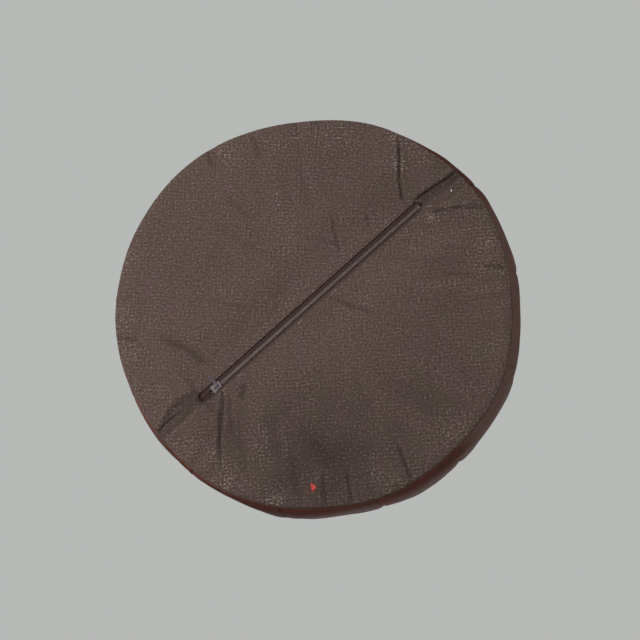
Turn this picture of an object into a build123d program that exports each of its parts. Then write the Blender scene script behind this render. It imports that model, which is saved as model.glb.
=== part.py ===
from build123d import *
import math
import os

# Round leather pouf, standing on its fabric base with the seat up.
# Millimetres, +Z up, origin at the centre of the base on the surface it stands on.
# The zip runs along +X across the base, from the parked slider towards its bottom stop.

os.makedirs("parts", exist_ok=True)

# Whole pouf
panel_count = 13
seam_turn = 2.8  # degrees from +X to the first upright seam
base_radius = 290.0  # seam between the fabric base and the leather side
belly_out = 12.0  # how far the stuffed side swells past the base seam
crown_seam_in = 2.0  # how far the crown seam lies inside the base seam
seat_height = 345.0
base_seam_height = 9.0
crown_rise = 41.0  # from the crown seam to the highest part of the seat
crown_dish = 10.0  # how far the button pulls the middle of the seat down

# Leather and its seams
leather_thickness = 1.6
seam_allowance = 7.0  # leather turned in behind each ring seam
upright_allowance = 5.0  # leather turned in behind each upright seam
side_seam_draw = 6.0  # how far an upright seam draws the side in
crown_seam_draw = 5.0  # how far a seam draws the seat down
seam_gap = 0.2  # thread's room between sewn edges

# Fabric base
fabric_thickness = 1.0
rim_width = 15.0  # the base turns up to its seam over this width
base_allowance = 7.0
hem_width = 9.0
groove_depth = 7.0  # the zip lies this far above the floor
groove_flat = 20.0  # half width of the groove's level bottom
groove_half = 42.0  # half width where the groove has run out
groove_run_out = 0.4  # the groove's curve ends this far below the base

# Zip
zip_offset = 10.0  # from the centre of the base towards -Y
slider_rim_gap = 109.0  # from the rim to the parked slider, along the base's radius
stop_rim_gap = 75.0  # from the rim at the other side to the bottom stop
slot_past_slider = 38.0  # open slot behind the parked slider
slot_past_stop = 10.0
near_hem_gap = 6.3  # hem to chain centre on the larger panel's side
far_hem_gap = 8.6  # hem to chain centre on the smaller panel's side
tape_width = 15.0
tape_thickness = 0.7
tape_tuck = 8.0  # tape hidden beyond each end of the slot
tooth_pitch = 3.0
tooth_foot = 1.5  # width of a tooth at its tape
tooth_neck = 0.9
tooth_head = 1.8
tooth_tip = 1.0
tooth_height = 2.4
chain_half = 3.3  # chain centre to the tape's edge
head_reach = 1.3  # how far a tooth passes the chain's centre
head_shoulder = 0.6
neck_end = 0.1

# Slider and pull tab
slider_length = 15.0
slider_plate = 1.1
slider_wall = 1.2
slider_flare = 1.2  # extra half width at the mouth that takes the parted teeth
chain_clearance = 0.15
tape_clearance = 0.2
divider_length = 6.0
divider_half = 1.2
divider_setback = 0.5
bridge_span = 5.2  # between the centres of the bridge's legs
bridge_radius = 0.6
tab_length = 19.0  # from the eye's centre to the tip
tab_width = 4.6
tab_thickness = 0.9
tab_clearance = 0.25
tab_eye_clearance = 0.08
tab_slot_length = 11.0
tab_slot_width = 1.8
tab_slot_margin = 1.5
stop_length = 4.0
stop_clearance = 0.5
first_tooth_past_divider = 2.1

# Crown button
button_radius = 28.0
button_height = 6.0
button_turn_under = 6.0
button_leather = 1.2
button_hole_radius = 16.0  # the points of the crown gores end at this circle
shank_radius = 1.5
shank_head_radius = 6.0
shank_head_thickness = 1.5
shank_clearance = 0.3
backing_radius = 38.0
backing_thickness = 1.5

# Stuffing
soft_gap = 0.3
stuffing_ease = 1.0  # room between the seams' turned-in edges and the liner
liner_thickness = 0.6
liner_base_rise = 30.0  # the liner's base disc is cupped up to this height
liner_top_drop = 40.0  # the liner's top disc is cupped down to this depth below the crown seam

overrun = 20.0  # how far a cutting tool runs past what it cuts

# Upright profile of a side panel: share of belly_out, share of the side's height, share of the draw
side_profile_shares = (
    (0.45, 0.012, 0.25),
    (0.77, 0.044, 0.50),
    (0.98, 0.170, 0.85),
    (1.00, 0.380, 1.00),
    (0.86, 0.610, 1.00),
    (0.60, 0.830, 0.80),
    (0.30, 0.945, 0.40),
)
# Profile of a crown gore: share of the way from its seam to its point, of the rise, of the draw
crown_profile_shares = (
    (0.020, 0.27, 0.10),
    (0.075, 0.50, 0.45),
    (0.170, 0.72, 0.90),
    (0.320, 0.89, 1.00),
    (0.500, 0.98, 1.00),
    (0.680, 1.00, 0.80),
    (0.840, 0.94, 0.50),
)
button_edge_lift_share = 0.36  # of crown_dish, from the middle up to the button's edge
# Sections across a panel, from seam to seam
section_shares = (-1.0, -0.55, 0.0, 0.55, 1.0)
upright_flange_share = 0.5  # a turned-in edge starts half way through the leather
crown_seam_heading = (-0.64, -0.77)
rim_lift_share = 0.3
rim_lift_width_share = 0.45

panel_angle = 360.0 / panel_count
half_panel = panel_angle / 2
crown_seam_radius = base_radius - crown_seam_in
crown_seam_height = seat_height - crown_rise
side_height = crown_seam_height - base_seam_height

slider_x = slider_rim_gap - base_radius
stop_x = base_radius - stop_rim_gap
zip_y = -zip_offset
tape_z = groove_depth + 2 * fabric_thickness + tape_thickness / 2
slot_start = slider_x - slot_past_slider
slot_end = stop_x + stop_length + slot_past_stop
chamber_half = tooth_height / 2 + chain_clearance
slider_half_height = chamber_half + slider_plate
rear_half = chain_half + chain_clearance + slider_wall
front_half = rear_half + slider_flare
slider_outer_z = tape_z - slider_half_height
tab_z = slider_outer_z - tab_clearance - tab_thickness
bridge_z = tab_z - tab_clearance - bridge_radius
leg_x = slider_x + bridge_span / 2
chain_start = slider_x - slider_length / 2 + divider_setback + divider_length + first_tooth_past_divider
tooth_count = int((stop_x - chain_start) / tooth_pitch)

button_seat_z = seat_height - (1 - button_edge_lift_share) * crown_dish
mould_low = button_seat_z + soft_gap + button_leather + seam_gap
backing_low = seat_height - crown_dish - leather_thickness - soft_gap - backing_thickness
shank_head_low = backing_low - seam_gap - shank_head_thickness
stuffing_gap = leather_thickness + upright_allowance + stuffing_ease


def unit(x, y):
    length = math.hypot(x, y)
    return x / length, y / length


def radial_plane(angle):
    """Plane through the upright axis: local x runs outward, local y runs up."""
    turn = math.radians(angle)
    return Plane(
        origin=(0, 0, 0),
        x_dir=(math.cos(turn), math.sin(turn), 0),
        z_dir=(math.sin(turn), -math.cos(turn), 0),
    )


def end_headings(points):
    """Headings of the spline through points, at its start and at its end."""
    curve = Spline(*points)
    return [(heading.X, heading.Y) for heading in (curve % 0, curve % 1)]


def inside_curve(points, depth):
    """Points of a curve that runs beside the spline through points, on its left."""
    curve = Spline(*points)
    found = []
    for x, y in points[1:-1]:
        heading = curve.tangent_at(curve.param_at_point(Vector(x, y)))
        found.append((x - heading.Y * depth, y + heading.X * depth))
    return found


def fold_corner(corner, sheet_heading, edge_heading, thickness):
    """Inner corner of a sheet folded at corner, a thickness away from both of its faces."""
    cosine = sheet_heading[0] * edge_heading[0] + sheet_heading[1] * edge_heading[1]
    reach = thickness / math.sqrt(1 - cosine**2)
    return (
        corner[0] + reach * (sheet_heading[0] + edge_heading[0]),
        corner[1] + reach * (sheet_heading[1] + edge_heading[1]),
    )


def turned_edge(corner, sheet_heading, edge_heading, thickness, depth):
    """The two tip points of an edge turned in at corner: mating face first."""
    along = sheet_heading[0] * edge_heading[0] + sheet_heading[1] * edge_heading[1]
    across = unit(
        sheet_heading[0] - along * edge_heading[0],
        sheet_heading[1] - along * edge_heading[1],
    )
    tip = (corner[0] + depth * edge_heading[0], corner[1] + depth * edge_heading[1])
    return tip, (tip[0] + thickness * across[0], tip[1] + thickness * across[1])


def pinch(share):
    """How strongly a seam draws the leather in, from mid panel to the seam."""
    return share**2


def side_points(share):
    points = [(base_radius, base_seam_height)]
    for out, up, draw in side_profile_shares:
        radius = base_radius + out * belly_out - draw * side_seam_draw * pinch(share)
        points.append((radius, base_seam_height + up * side_height))
    points.append((crown_seam_radius, crown_seam_height))
    return points


def crown_points(share):
    run = crown_seam_radius - button_hole_radius
    start_height = crown_seam_height + seam_gap
    rise = seat_height - start_height
    points = [(crown_seam_radius, start_height)]
    for along, up, draw in crown_profile_shares:
        height = start_height + up * rise - draw * crown_seam_draw * pinch(share)
        points.append((crown_seam_radius - along * run, height))
    points.append((button_hole_radius, seat_height - crown_dish))
    return points


def side_face(share):
    """Section of a side panel with both ring seams' edges turned in."""
    points = side_points(share)
    start_heading, end_heading = end_headings(points)
    back = (-end_heading[0], -end_heading[1])
    up = (0, 1)
    down = unit(*crown_seam_heading)
    inner = [fold_corner(points[0], start_heading, up, leather_thickness)]
    inner += inside_curve(points, leather_thickness)
    inner.append(fold_corner(points[-1], back, down, leather_thickness))
    foot, foot_back = turned_edge(points[0], start_heading, up, leather_thickness, seam_allowance)
    head, head_back = turned_edge(points[-1], back, down, leather_thickness, seam_allowance)
    outline = Spline(*points) + Polyline(points[-1], head, head_back, inner[-1])
    outline += Spline(*inner) + Polyline(inner[0], foot_back, foot, points[0])
    return make_face(outline)


def crown_face(share):
    """Section of a crown gore with its outer edge turned in at the crown seam."""
    points = crown_points(share)
    start_heading, end_heading = end_headings(points)
    down = unit(*crown_seam_heading)
    inner = [fold_corner(points[0], start_heading, down, leather_thickness)]
    inner += inside_curve(points, leather_thickness)
    inner.append(
        (
            points[-1][0] - end_heading[1] * leather_thickness,
            points[-1][1] + end_heading[0] * leather_thickness,
        )
    )
    edge, edge_back = turned_edge(points[0], start_heading, down, leather_thickness, seam_allowance)
    outline = Spline(*points) + Polyline(points[-1], inner[-1])
    outline += Spline(*inner) + Polyline(inner[0], edge_back, edge, points[0])
    return make_face(outline)


def upright_edge(points, first, last):
    """Leather turned in behind an upright seam, drawn in the seam's own plane."""
    mid = inside_curve(points, leather_thickness * upright_flange_share)[first:last]
    deep = inside_curve(points, leather_thickness + upright_allowance)[first:last]
    outline = Spline(*mid) + Polyline(mid[-1], deep[-1]) + Spline(*deep) + Polyline(deep[0], mid[0])
    return make_face(outline)


def sewn_panel(section, edge_points, first, last):
    """A leather panel: sections lofted from seam to seam, with both upright edges turned in."""
    reach = half_panel - math.degrees(seam_gap / 2 / base_radius)
    panel = loft([radial_plane(share * reach) * section(share) for share in section_shares])
    for side in (-1, 1):
        plane = radial_plane(side * reach)
        edge = plane * upright_edge(edge_points(1), first, last)
        inward = plane.z_dir * side
        panel += extrude(edge, amount=leather_thickness, dir=inward)
    return panel


def ring_of_panels(panel, name):
    for index in range(panel_count):
        turn = seam_turn + (index + 1 / 2) * panel_angle
        export_step(Rot(0, 0, turn) * panel, f"parts/{name}_{index + 1:02d}.step")


def groove_tool(lift, depth, flat, half):
    """What the zip's groove takes out of a level base at height lift."""
    low = lift - groove_run_out
    bend = Spline((flat, lift + depth), (half, low), tangents=((1, 0), (1, -groove_run_out / depth)))
    back = Spline((-half, low), (-flat, lift + depth), tangents=((1, groove_run_out / depth), (1, 0)))
    outline = (
        Polyline((-flat, lift + depth), (flat, lift + depth))
        + bend
        + Polyline((half, low), (half, -overrun), (-half, -overrun), (-half, low))
        + back
    )
    reach = base_radius + belly_out + overrun
    plane = Plane(origin=(-reach, zip_y, 0), x_dir=(0, 1, 0), z_dir=(1, 0, 0))
    return extrude(plane * make_face(outline), amount=2 * reach)


def base_bowl(thickness, top):
    """Solid whose underside is the base fabric's face that lies thickness above its outer face."""
    radius = base_radius - seam_gap - thickness
    level = base_radius - rim_width
    lift = base_seam_height * rim_lift_share
    turn = Spline(
        (level, thickness),
        (level + rim_width * rim_lift_width_share, thickness + lift * rim_lift_share),
        (radius, base_seam_height),
        tangents=((1, 0), (0, 1)),
    )
    outline = Polyline((0, top), (0, thickness), (level, thickness)) + turn
    outline += Polyline((radius, base_seam_height), (radius, top), (0, top))
    return revolve(Plane.XZ * make_face(outline), axis=Axis.Z)


def base_sheet():
    """The whole base fabric, one cloth thick, with the zip's groove through it."""
    top = base_seam_height + base_allowance
    outside = base_bowl(0, top) - groove_tool(0, groove_depth, groove_flat, groove_half)
    inside = base_bowl(fabric_thickness, top + overrun)
    inside -= groove_tool(fabric_thickness, groove_depth, groove_flat, groove_half)
    return outside - inside


def block(low, high):
    """Box between two corners."""
    sizes = [high[i] - low[i] for i in range(3)]
    return Pos(*low) * Box(*sizes, align=(Align.MIN, Align.MIN, Align.MIN))


def base_panel(sheet, side, hem_gap):
    """One half of the base, cut at the zip, with its hem folded back along the slot."""
    reach = base_radius + overrun
    top = base_seam_height + base_allowance + overrun
    edge = zip_y + side * seam_gap / 2
    far = side * reach
    half = block((-reach, min(edge, far), -overrun), (reach, max(edge, far), top))
    hem = zip_y + side * hem_gap
    slot = block(
        (slot_start, min(hem, zip_y - side * overrun), -overrun),
        (slot_end, max(hem, zip_y - side * overrun), top),
    )
    fold = zip_y + side * (hem_gap + hem_width)
    hem_low = groove_depth + fabric_thickness
    folded = block(
        (slot_start - tape_tuck, min(hem, fold), hem_low),
        (slot_end + tape_tuck, max(hem, fold), hem_low + fabric_thickness),
    )
    return (sheet & half) - slot + folded


def stuffing_section(inset):
    """Half section of the stuffing, inset all round from the seams' turned-in edges."""
    side = inside_curve(side_points(1), stuffing_gap)
    crown = inside_curve(crown_points(1), stuffing_gap)
    shoulder = (base_radius - stuffing_gap, base_seam_height + 2 * seam_allowance)
    right = [(base_radius - rim_width, fabric_thickness + soft_gap), shoulder, *side[2:-1]]
    right += [*crown[1:], (backing_radius, shank_head_low - soft_gap)]
    left = [(-x, y) for x, y in reversed(right)]
    section = make_face(Polyline(*right, *left, close=True))
    if inset > 0:
        section = offset(section, amount=-inset, kind=Kind.INTERSECTION)
    return section & Rectangle(seat_height, seat_height, align=(Align.MIN, Align.MIN))


def stuffing_region(inset, extra_lift):
    """Stuffed space inside the cover, with the zip's groove left free."""
    floor = fabric_thickness + soft_gap + inset
    region = revolve(Plane.XZ * stuffing_section(inset), axis=Axis.Z)
    roof = tape_z + slider_half_height + soft_gap + extra_lift
    return region - groove_tool(floor, roof - floor, groove_flat + inset, groove_half + inset)


def tooth(side):
    """One tooth, drawn about its own place on the chain's centre line."""
    half_height = tooth_height / 2
    right = (
        (tooth_foot / 2, side * chain_half),
        (tooth_neck / 2, -side * neck_end),
        (tooth_head / 2, -side * head_shoulder),
        (tooth_tip / 2, -side * head_reach),
    )
    left = [(-x, y) for x, y in reversed(right)]
    outline = Polyline(*right, *left, close=True)
    return Pos(0, zip_y, tape_z - half_height) * extrude(make_face(outline), amount=tooth_height)


def tooth_row(side):
    """Every second tooth of the closed chain, on one tape."""
    first = chain_start + (tooth_pitch / 2 if side < 0 else 0)
    places = [first + index * tooth_pitch for index in range(tooth_count)]
    return Compound(children=[Pos(x, 0, 0) * tooth(side) for x in places])


def zip_tape(side):
    inner = zip_y + side * chain_half
    outer = zip_y + side * (chain_half + tape_width)
    low = tape_z - tape_thickness / 2
    return block(
        (slot_start - tape_tuck, min(inner, outer), low),
        (slot_end + tape_tuck, max(inner, outer), low + tape_thickness),
    )


def slider_outline():
    """Shield shape of both slider plates: narrow over the closed chain, wide at the mouths."""
    half = slider_length / 2
    outline = Polyline(
        (half, -rear_half),
        (half, rear_half),
        (0, rear_half),
        (-half / 2, front_half),
        (-half, front_half),
        (-half, -front_half),
        (-half / 2, -front_half),
        (0, -rear_half),
        close=True,
    )
    face = make_face(outline)
    return fillet(face.vertices(), slider_wall)


def slider_channel():
    """Way through the slider for the teeth, open at both ends."""
    half = slider_length / 2
    narrow = rear_half - slider_wall
    wide = front_half - slider_wall
    outline = Polyline(
        (half + overrun, -narrow),
        (half + overrun, narrow),
        (0, narrow),
        (-half / 2, wide),
        (-half - overrun, wide),
        (-half - overrun, -wide),
        (-half / 2, -wide),
        (0, -narrow),
        close=True,
    )
    return make_face(outline)


def zip_slider():
    """Two plates held apart by the divider, with side walls round the tapes and a bridge."""
    centre = Pos(slider_x, zip_y, tape_z)
    plate = slider_outline()
    wall = plate - slider_channel()
    tape_half = tape_thickness / 2 + tape_clearance
    back = -slider_length / 2 + divider_setback
    kite = Polyline(
        (back, 0),
        (back + divider_length / 3, -divider_half),
        (back + divider_length, 0),
        (back + divider_length / 3, divider_half),
        close=True,
    )
    divider = Pos(0, 0, -chamber_half) * extrude(make_face(kite), amount=2 * chamber_half)
    body = centre * divider
    for side in (-1, 1):
        direction = (0, 0, side)
        body += centre * Pos(0, 0, side * chamber_half) * extrude(plate, amount=slider_plate, dir=direction)
        body += centre * Pos(0, 0, side * tape_half) * extrude(
            wall, amount=chamber_half - tape_half, dir=direction
        )
    path = Polyline(
        (leg_x, zip_y, slider_outer_z + slider_plate / 2),
        (leg_x, zip_y, bridge_z),
        (leg_x - bridge_span, zip_y, bridge_z),
        (leg_x - bridge_span, zip_y, slider_outer_z + slider_plate / 2),
    )
    leg_low = slider_outer_z + slider_plate / 2
    section = Plane(origin=(leg_x, zip_y, leg_low), z_dir=(0, 0, -1)) * Circle(bridge_radius)
    bridge = sweep(section, path=path, transition=Transition.ROUND)
    return body + bridge


def pull_tab():
    """Flat tab lying across the zip, its eye round one leg of the bridge."""
    eye = Circle(tab_width / 2)
    tip = Pos(0, -tab_length + tab_width / 2) * Circle(tab_width / 2)
    strip = Pos(0, (tab_width - tab_length) / 2) * Rectangle(tab_width, tab_length - tab_width)
    slot_y = -tab_length + tab_slot_margin + tab_slot_length / 2
    slot = Pos(0, slot_y) * Rot(0, 0, 90) * SlotOverall(tab_slot_length, tab_slot_width)
    outline = eye + strip + tip - Circle(bridge_radius + tab_eye_clearance) - slot
    return Pos(leg_x, zip_y, tab_z) * extrude(outline, amount=tab_thickness)


def bottom_stop():
    """Clamp that joins both tapes at the closed end of the chain."""
    low = chain_start + (tooth_count - 1 / 2) * tooth_pitch + tooth_foot / 2 + stop_clearance
    half_height = tooth_height / 2
    return block(
        (low, zip_y - chain_half, tape_z - half_height),
        (low + stop_length, zip_y + chain_half, tape_z + half_height),
    )


def top_stop(side):
    """Small clamp on one tape that the parked slider comes up to."""
    high = slider_x - slider_length / 2 - stop_clearance
    inner = zip_y + side * chain_half / 2
    outer = zip_y + side * chain_half
    half_height = tooth_height / 2
    return block(
        (high - stop_length / 2, min(inner, outer), tape_z - half_height),
        (high, max(inner, outer), tape_z + half_height),
    )


def button_region(inset):
    """Domed button, inset all round."""
    low = button_seat_z + soft_gap + inset
    radius = button_radius - inset
    high = low + button_height - 2 * inset
    side = low + (high - low) / 2
    dome = Bezier((radius, side), (radius, high), (0, high))
    outline = Polyline((0, high), (0, low), (radius, low), (radius, side)) + dome
    return revolve(Plane.XZ * make_face(outline), axis=Axis.Z)


def button_cover():
    """Leather cap turned under the mould's edge."""
    opening = Cylinder(button_radius - button_turn_under, button_height)
    opening_z = button_seat_z + soft_gap + button_leather - button_height / 2
    return button_region(0) - button_region(button_leather) - Pos(0, 0, opening_z) * opening


def button_shank():
    """Stem from the mould down through the backing disc, with a flat head under the disc."""
    base = (Align.CENTER, Align.CENTER, Align.MIN)
    stem = Cylinder(shank_radius, mould_low - shank_head_low, align=base)
    return Pos(0, 0, shank_head_low) * (stem + Cylinder(shank_head_radius, shank_head_thickness, align=base))


def backing_disc():
    base = (Align.CENTER, Align.CENTER, Align.MIN)
    disc = Cylinder(backing_radius, backing_thickness, align=base)
    disc -= Cylinder(shank_radius + shank_clearance, backing_thickness, align=base)
    return Pos(0, 0, backing_low) * disc


# Leather cover
ring_of_panels(sewn_panel(side_face, side_points, 1, -1), "side_panel")
ring_of_panels(sewn_panel(crown_face, crown_points, 1, -1), "crown_gore")

# Fabric base
sheet = base_sheet()
export_step(base_panel(sheet, 1, near_hem_gap), "parts/base_panel_large.step")
export_step(base_panel(sheet, -1, far_hem_gap), "parts/base_panel_small.step")

# Zip
for side, name in ((1, "large"), (-1, "small")):
    export_step(zip_tape(side), f"parts/zip_tape_{name}.step")
    export_step(tooth_row(side), f"parts/zip_teeth_{name}.step")
export_step(zip_slider(), "parts/zip_slider.step")
export_step(pull_tab(), "parts/zip_pull_tab.step")
export_step(bottom_stop(), "parts/zip_bottom_stop.step")
export_step(Compound(children=[top_stop(1), top_stop(-1)]), "parts/zip_top_stops.step")

# Crown button
export_step(button_cover(), "parts/crown_button_cover.step")
export_step(button_region(button_leather + seam_gap), "parts/crown_button_mould.step")
export_step(button_shank(), "parts/crown_button_shank.step")
export_step(backing_disc(), "parts/crown_backing_disc.step")

# Stuffing in its calico liner
outside = stuffing_region(0, 0)
inside = stuffing_region(liner_thickness, liner_thickness)
reach = base_radius + belly_out
low_cut = block((-reach, -reach, -overrun), (reach, reach, liner_base_rise))
high_cut = block((-reach, -reach, crown_seam_height - liner_top_drop), (reach, reach, seat_height))
export_step((outside & low_cut) - inside, "parts/liner_base.step")
export_step((outside & high_cut) - inside, "parts/liner_top.step")
export_step(outside - low_cut - high_cut - inside, "parts/liner_band.step")
filling_inset = liner_thickness + seam_gap
export_step(stuffing_region(filling_inset, filling_inset), "parts/filling.step")
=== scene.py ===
import math

import bpy
import numpy as np
from mathutils import Matrix, Vector


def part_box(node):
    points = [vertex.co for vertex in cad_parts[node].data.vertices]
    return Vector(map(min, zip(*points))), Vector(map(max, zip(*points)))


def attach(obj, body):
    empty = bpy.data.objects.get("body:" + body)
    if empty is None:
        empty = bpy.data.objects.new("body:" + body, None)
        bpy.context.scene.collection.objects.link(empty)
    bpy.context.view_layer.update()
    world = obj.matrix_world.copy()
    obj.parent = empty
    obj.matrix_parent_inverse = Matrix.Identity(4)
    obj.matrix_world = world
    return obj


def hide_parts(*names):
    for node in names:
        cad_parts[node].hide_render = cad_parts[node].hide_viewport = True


bl_info = {
    "name": "Leather pouf", "version": (1, 0, 0), "blender": (4, 5, 0), "location": "View3D > Sidebar > Pouf",
    "description": "Dresses a round stuffed leather pouf with a zipped fabric base", "category": "Object",
}

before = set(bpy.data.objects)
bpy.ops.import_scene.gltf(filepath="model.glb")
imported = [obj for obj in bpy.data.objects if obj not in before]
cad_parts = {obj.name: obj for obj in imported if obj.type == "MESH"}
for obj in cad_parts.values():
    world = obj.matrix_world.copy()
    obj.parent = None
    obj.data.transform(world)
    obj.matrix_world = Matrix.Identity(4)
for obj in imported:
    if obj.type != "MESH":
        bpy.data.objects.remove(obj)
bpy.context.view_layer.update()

MM = 0.001
SIDE_PANELS = sorted(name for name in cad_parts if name.startswith("side_panel_"))
CROWN_GORES = sorted(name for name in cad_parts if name.startswith("crown_gore_"))
PANEL_COUNT = len(SIDE_PANELS)
HALF_PANEL = math.pi / PANEL_COUNT
SLIDER_LOW, SLIDER_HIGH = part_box("zip_slider")
ZIP_Y = (SLIDER_LOW.y + SLIDER_HIGH.y) / 2 / MM
TAPE_BOXES = {label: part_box(f"zip_tape_{label}") for label in ("large", "small")}
BUTTON_LOW, BUTTON_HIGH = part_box("crown_button_cover")

# Millimetres, as in the part's own measure
SEAM_TURN = 2.8  # degrees from +X to the first upright seam
BASE_SEAM_HEIGHT = 9.0
CROWN_SEAM_RADIUS = 288.0
CROWN_SEAM_HEIGHT = 304.0
SIDE_RADIUS = 300.0  # lengths round the side are measured at this radius
FOOT_RADIUS = 290.0
HALF_GAP = 0.1  # half of what lies between two neighbouring panels
TURN_STEPS = np.array([0.35, 0.7, 1.0])  # shares of the turned-in edge, row by row
HEAD_IN, HEAD_DOWN = 0.64, 0.77  # the way the leather turns in at the crown seam
# Upright line of a stuffed side panel: radius, height, share of the seams' draw
SIDE_LINE = (
    (290.2, 9.2, 0.0), (291.2, 12.5, 0.2), (294.6, 22.0, 0.2), (300.6, 59.0, 0.3), (302.0, 121.0, 0.4),
    (300.3, 189.0, 1.0), (297.2, 254.0, 0.8), (293.6, 287.8, 0.4), (288.0, 303.9, 0.0),
)
# Line of a crown gore from its seam to its point at the button
CROWN_LINE = (
    (287.8, 304.5, 0.0), (282.6, 315.2, 0.1), (267.6, 324.6, 0.45), (241.8, 333.6, 0.9), (201.0, 340.5, 1.0),
    (152.0, 344.2, 1.0), (103.0, 345.0, 0.8), (59.5, 342.6, 0.5), (30.0, 337.6, 0.2), (16.0, 335.0, 0.0),
)
# How far the stuffing has pushed the base rim and the side out of round, every 10 degrees
SHIFT_START = 1.5  # degrees from +X to the first value
RIM_SHIFT = (
    (1.5, 2.5, -1.0, -3.3, -3.4, -2.1, 1.7, 2.0, -2.4, -2.2, -1.1, 0.5)
    + (-2.1, -2.5, 0.6, 0.5, 2.7, -1.6, -1.5, -0.9, -1.4, 2.4, 3.5, 0.9)
    + (2.5, 0.6, 1.8, 1.1, -0.7, -3.7, -5.7, -5.9, -2.2, 1.2, -1.5, -1.0)
)
WALL_SHIFT = (
    (9.5, 9.5, 5.5, 3.8, 0.8, 3.6, 6.1, 0.2, -1.9, -4.5, -4.0, -8.0)
    + (-11.0, -8.0, 2.2, -1.3, -3.1, -0.3, -2.5, -3.0, -2.0, 0.0, 0.0, 0.0)
    + (0.0, 0.0, 0.0, 0.0, -2.0, -4.0, -5.0, -5.0, -3.0, 0.5, 4.0, 7.0)
)
HEAD_SHARE = 0.8  # of the side's shift, at the crown seam
RIM_LEVEL = 275.0  # the base fabric starts to turn up here
RIM_EDGE = 290.6  # it rolls out this far, then back in to its seam
RIM_EDGE_HEIGHT = 5.0
RIM_SEAM = 289.4
RIM_TURN_IN = 6.0
GATHER_RADIUS = 289.0  # the gathers and tucks of the rim are measured at this radius
BASE_LEVEL = 1.8  # the slack cloth lies this far above the floor, its lumps reach down to it
GROOVE_DEPTH = 7.0
GROOVE_FLAT = 21.5
GROOVE_HALF = 78.0
SLOT_START = -211.0
SLOT_END = 222.0
TAPE_MEETS = (-191.4, 217.2)
NEAR_HEM = 6.3
FAR_HEM = 8.6
TAPE_THICKNESS = 0.6
CALICO_THICKNESS = 0.6
# The flat bands that carry on from the zip to the rim: a table of where each side of the band lies
BAND_START = (-199.0, -213.0)
BAND_END = (208.0, 226.0)
BAND_UPPER = (
    (-290, -17), (-278, -21.2), (-263, -27.3), (-243, -31.5), (-227, -31), (-205, -26), (-190, -24),
    (200, -21.5), (245, -17.5), (290, -11),
)
BAND_LOWER = (
    (-290, -3.5), (-257, -5), (-231, -3.8), (-209, -5), (-200, -4), (200, -8), (220, -8), (263, -5), (290, -2)
)
BAND_DEPTH = 6.4
# Creases in the base cloth: points along each, depth and half width
BASE_CREASES = (
    (((268, -110), (246, -84), (222, -58), (210, -40), (205, -28)), 3.6, 2.3),
    (((114, -86), (100, -65), (84, -34)), 1.8, 2.0), (((290, 64), (258, 34), (236, 18), (222, 12)), 3.0, 2.6),
    (((153, -56), (142, -32)), 1.4, 2.6),
    (((-180, 3), (-188, 13), (-198, 24), (-211, 37), (-232, 58), (-252, 88)), 3.4, 3.0),
    (((-172, 6), (-188, 30), (-212, 70)), 1.2, 3.4), (((30, 5), (44, 34), (62, 68)), 2.2, 2.6),
    (((96, -40), (60, -92)), 0.9, 3.4), (((128, 8), (150, 40), (168, 58)), 0.9, 3.0),
    (((-70, -60), (-110, -120)), 0.8, 4.5), (((20, -70), (-10, -140), (-22, -190)), 0.8, 5.0),
    (((196, 60), (232, 92)), 0.9, 3.0), (((180, 96), (214, 132)), 0.9, 3.0),
    (((-20, 110), (-40, 180)), 0.8, 5.0), (((-146, 14), (-166, 32)), 2.0, 4.5),
    (((-196, -122), (-176, -80), (-168, -38)), 2.0, 7.0), (((17, -217), (23, -156)), 1.1, 5.0),
    (((110, -264), (94, -223)), 1.4, 4.0), (((-40, 228), (-62, 286)), 2.8, 2.8),
    (((-161, 135), (-198, 196)), 1.4, 7.0), (((-148, 190), (-178, 230)), 2.2, 3.6),
    (((-120, 208), (-146, 252)), 2.2, 3.6), (((223, 118), (256, 154)), 1.8, 2.8),
    (((-248, -168), (-219, -137)), 1.7, 3.6), (((41, -288), (32, -258)), 1.8, 3.2),
    (((-221, -11.5), (-232, -13), (-251, -16), (-263, -18), (-279, -16.5), (-287, -15)), 2.4, 1.5),
    (((216, -5.5), (240, -3.5), (289, 1.5)), 1.6, 1.5),
)
# Pale scuffs where the base has rubbed on the floor: place and radius
BASE_SCUFFS = (
    (255, -116, 9), (255, 97, 12), (-259, 106, 13), (219, 16, 10), (245, 20, 8), (-225, 170, 16),
    (238, -78, 14), (-250, 60, 10), (262, 40, 9),
)
# Patches of fine slack wrinkles: place, radius, the way they run in degrees, height
BASE_RIPPLED = (
    (203, 97, 85, 36, 0.5), (112, -137, 70, -57, 0.5), (190, 20, 40, 50, 0.4), (-20, -40, 90, -20, 0.3),
    (-190, 90, 60, -60, 0.4), (60, 190, 70, 70, 0.4),
)
# Broad patches where the base cloth is drawn darker: place, radius and depth
BASE_DARKENED = (
    (-139, 171, 100, 0.95), (-60, 235, 85, 0.5), (25, 203, 90, 0.36), (-205, 50, 80, 0.36),
    (255, -28, 80, 0.36), (166, -178, 110, 0.24), (-60, -200, 120, 0.14),
)
# Bits of lint on the base: place and size
LINT = ((266, 6.4, 2.2), (213, -54, 1.0), (-40, -60, 0.8), (120, 96, 0.7), (40, 210, 0.8), (-250, 40, 0.8))

# Stage, in metres
FLOOR_RADIUS = 8
FLOOR_FADES = (0.75, 2.6)
CAMERA_PLACE = (-0.1099, 0.4202, -2.0538)
CAMERA_AHEAD = (0.05048, -0.19101, 0.9803)
CAMERA_UP = (0.66519, -0.7261, -0.17564)


def linear(code):
    """Linear RGB of an sRGB hex colour."""
    shades = [int(code[place : place + 2], 16) / 255 for place in (0, 2, 4)]
    return [s / 12.92 if s <= 0.04045 else ((s + 0.055) / 1.055) ** 2.4 for s in shades]


def colour(name, description, code):
    return bpy.props.FloatVectorProperty(
        name=name, description=description, default=linear(code), size=3, min=0, max=1, subtype="COLOR"
    )


def number(name, description, default, **limits):
    return bpy.props.FloatProperty(name=name, description=description, default=default, **limits)


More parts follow.
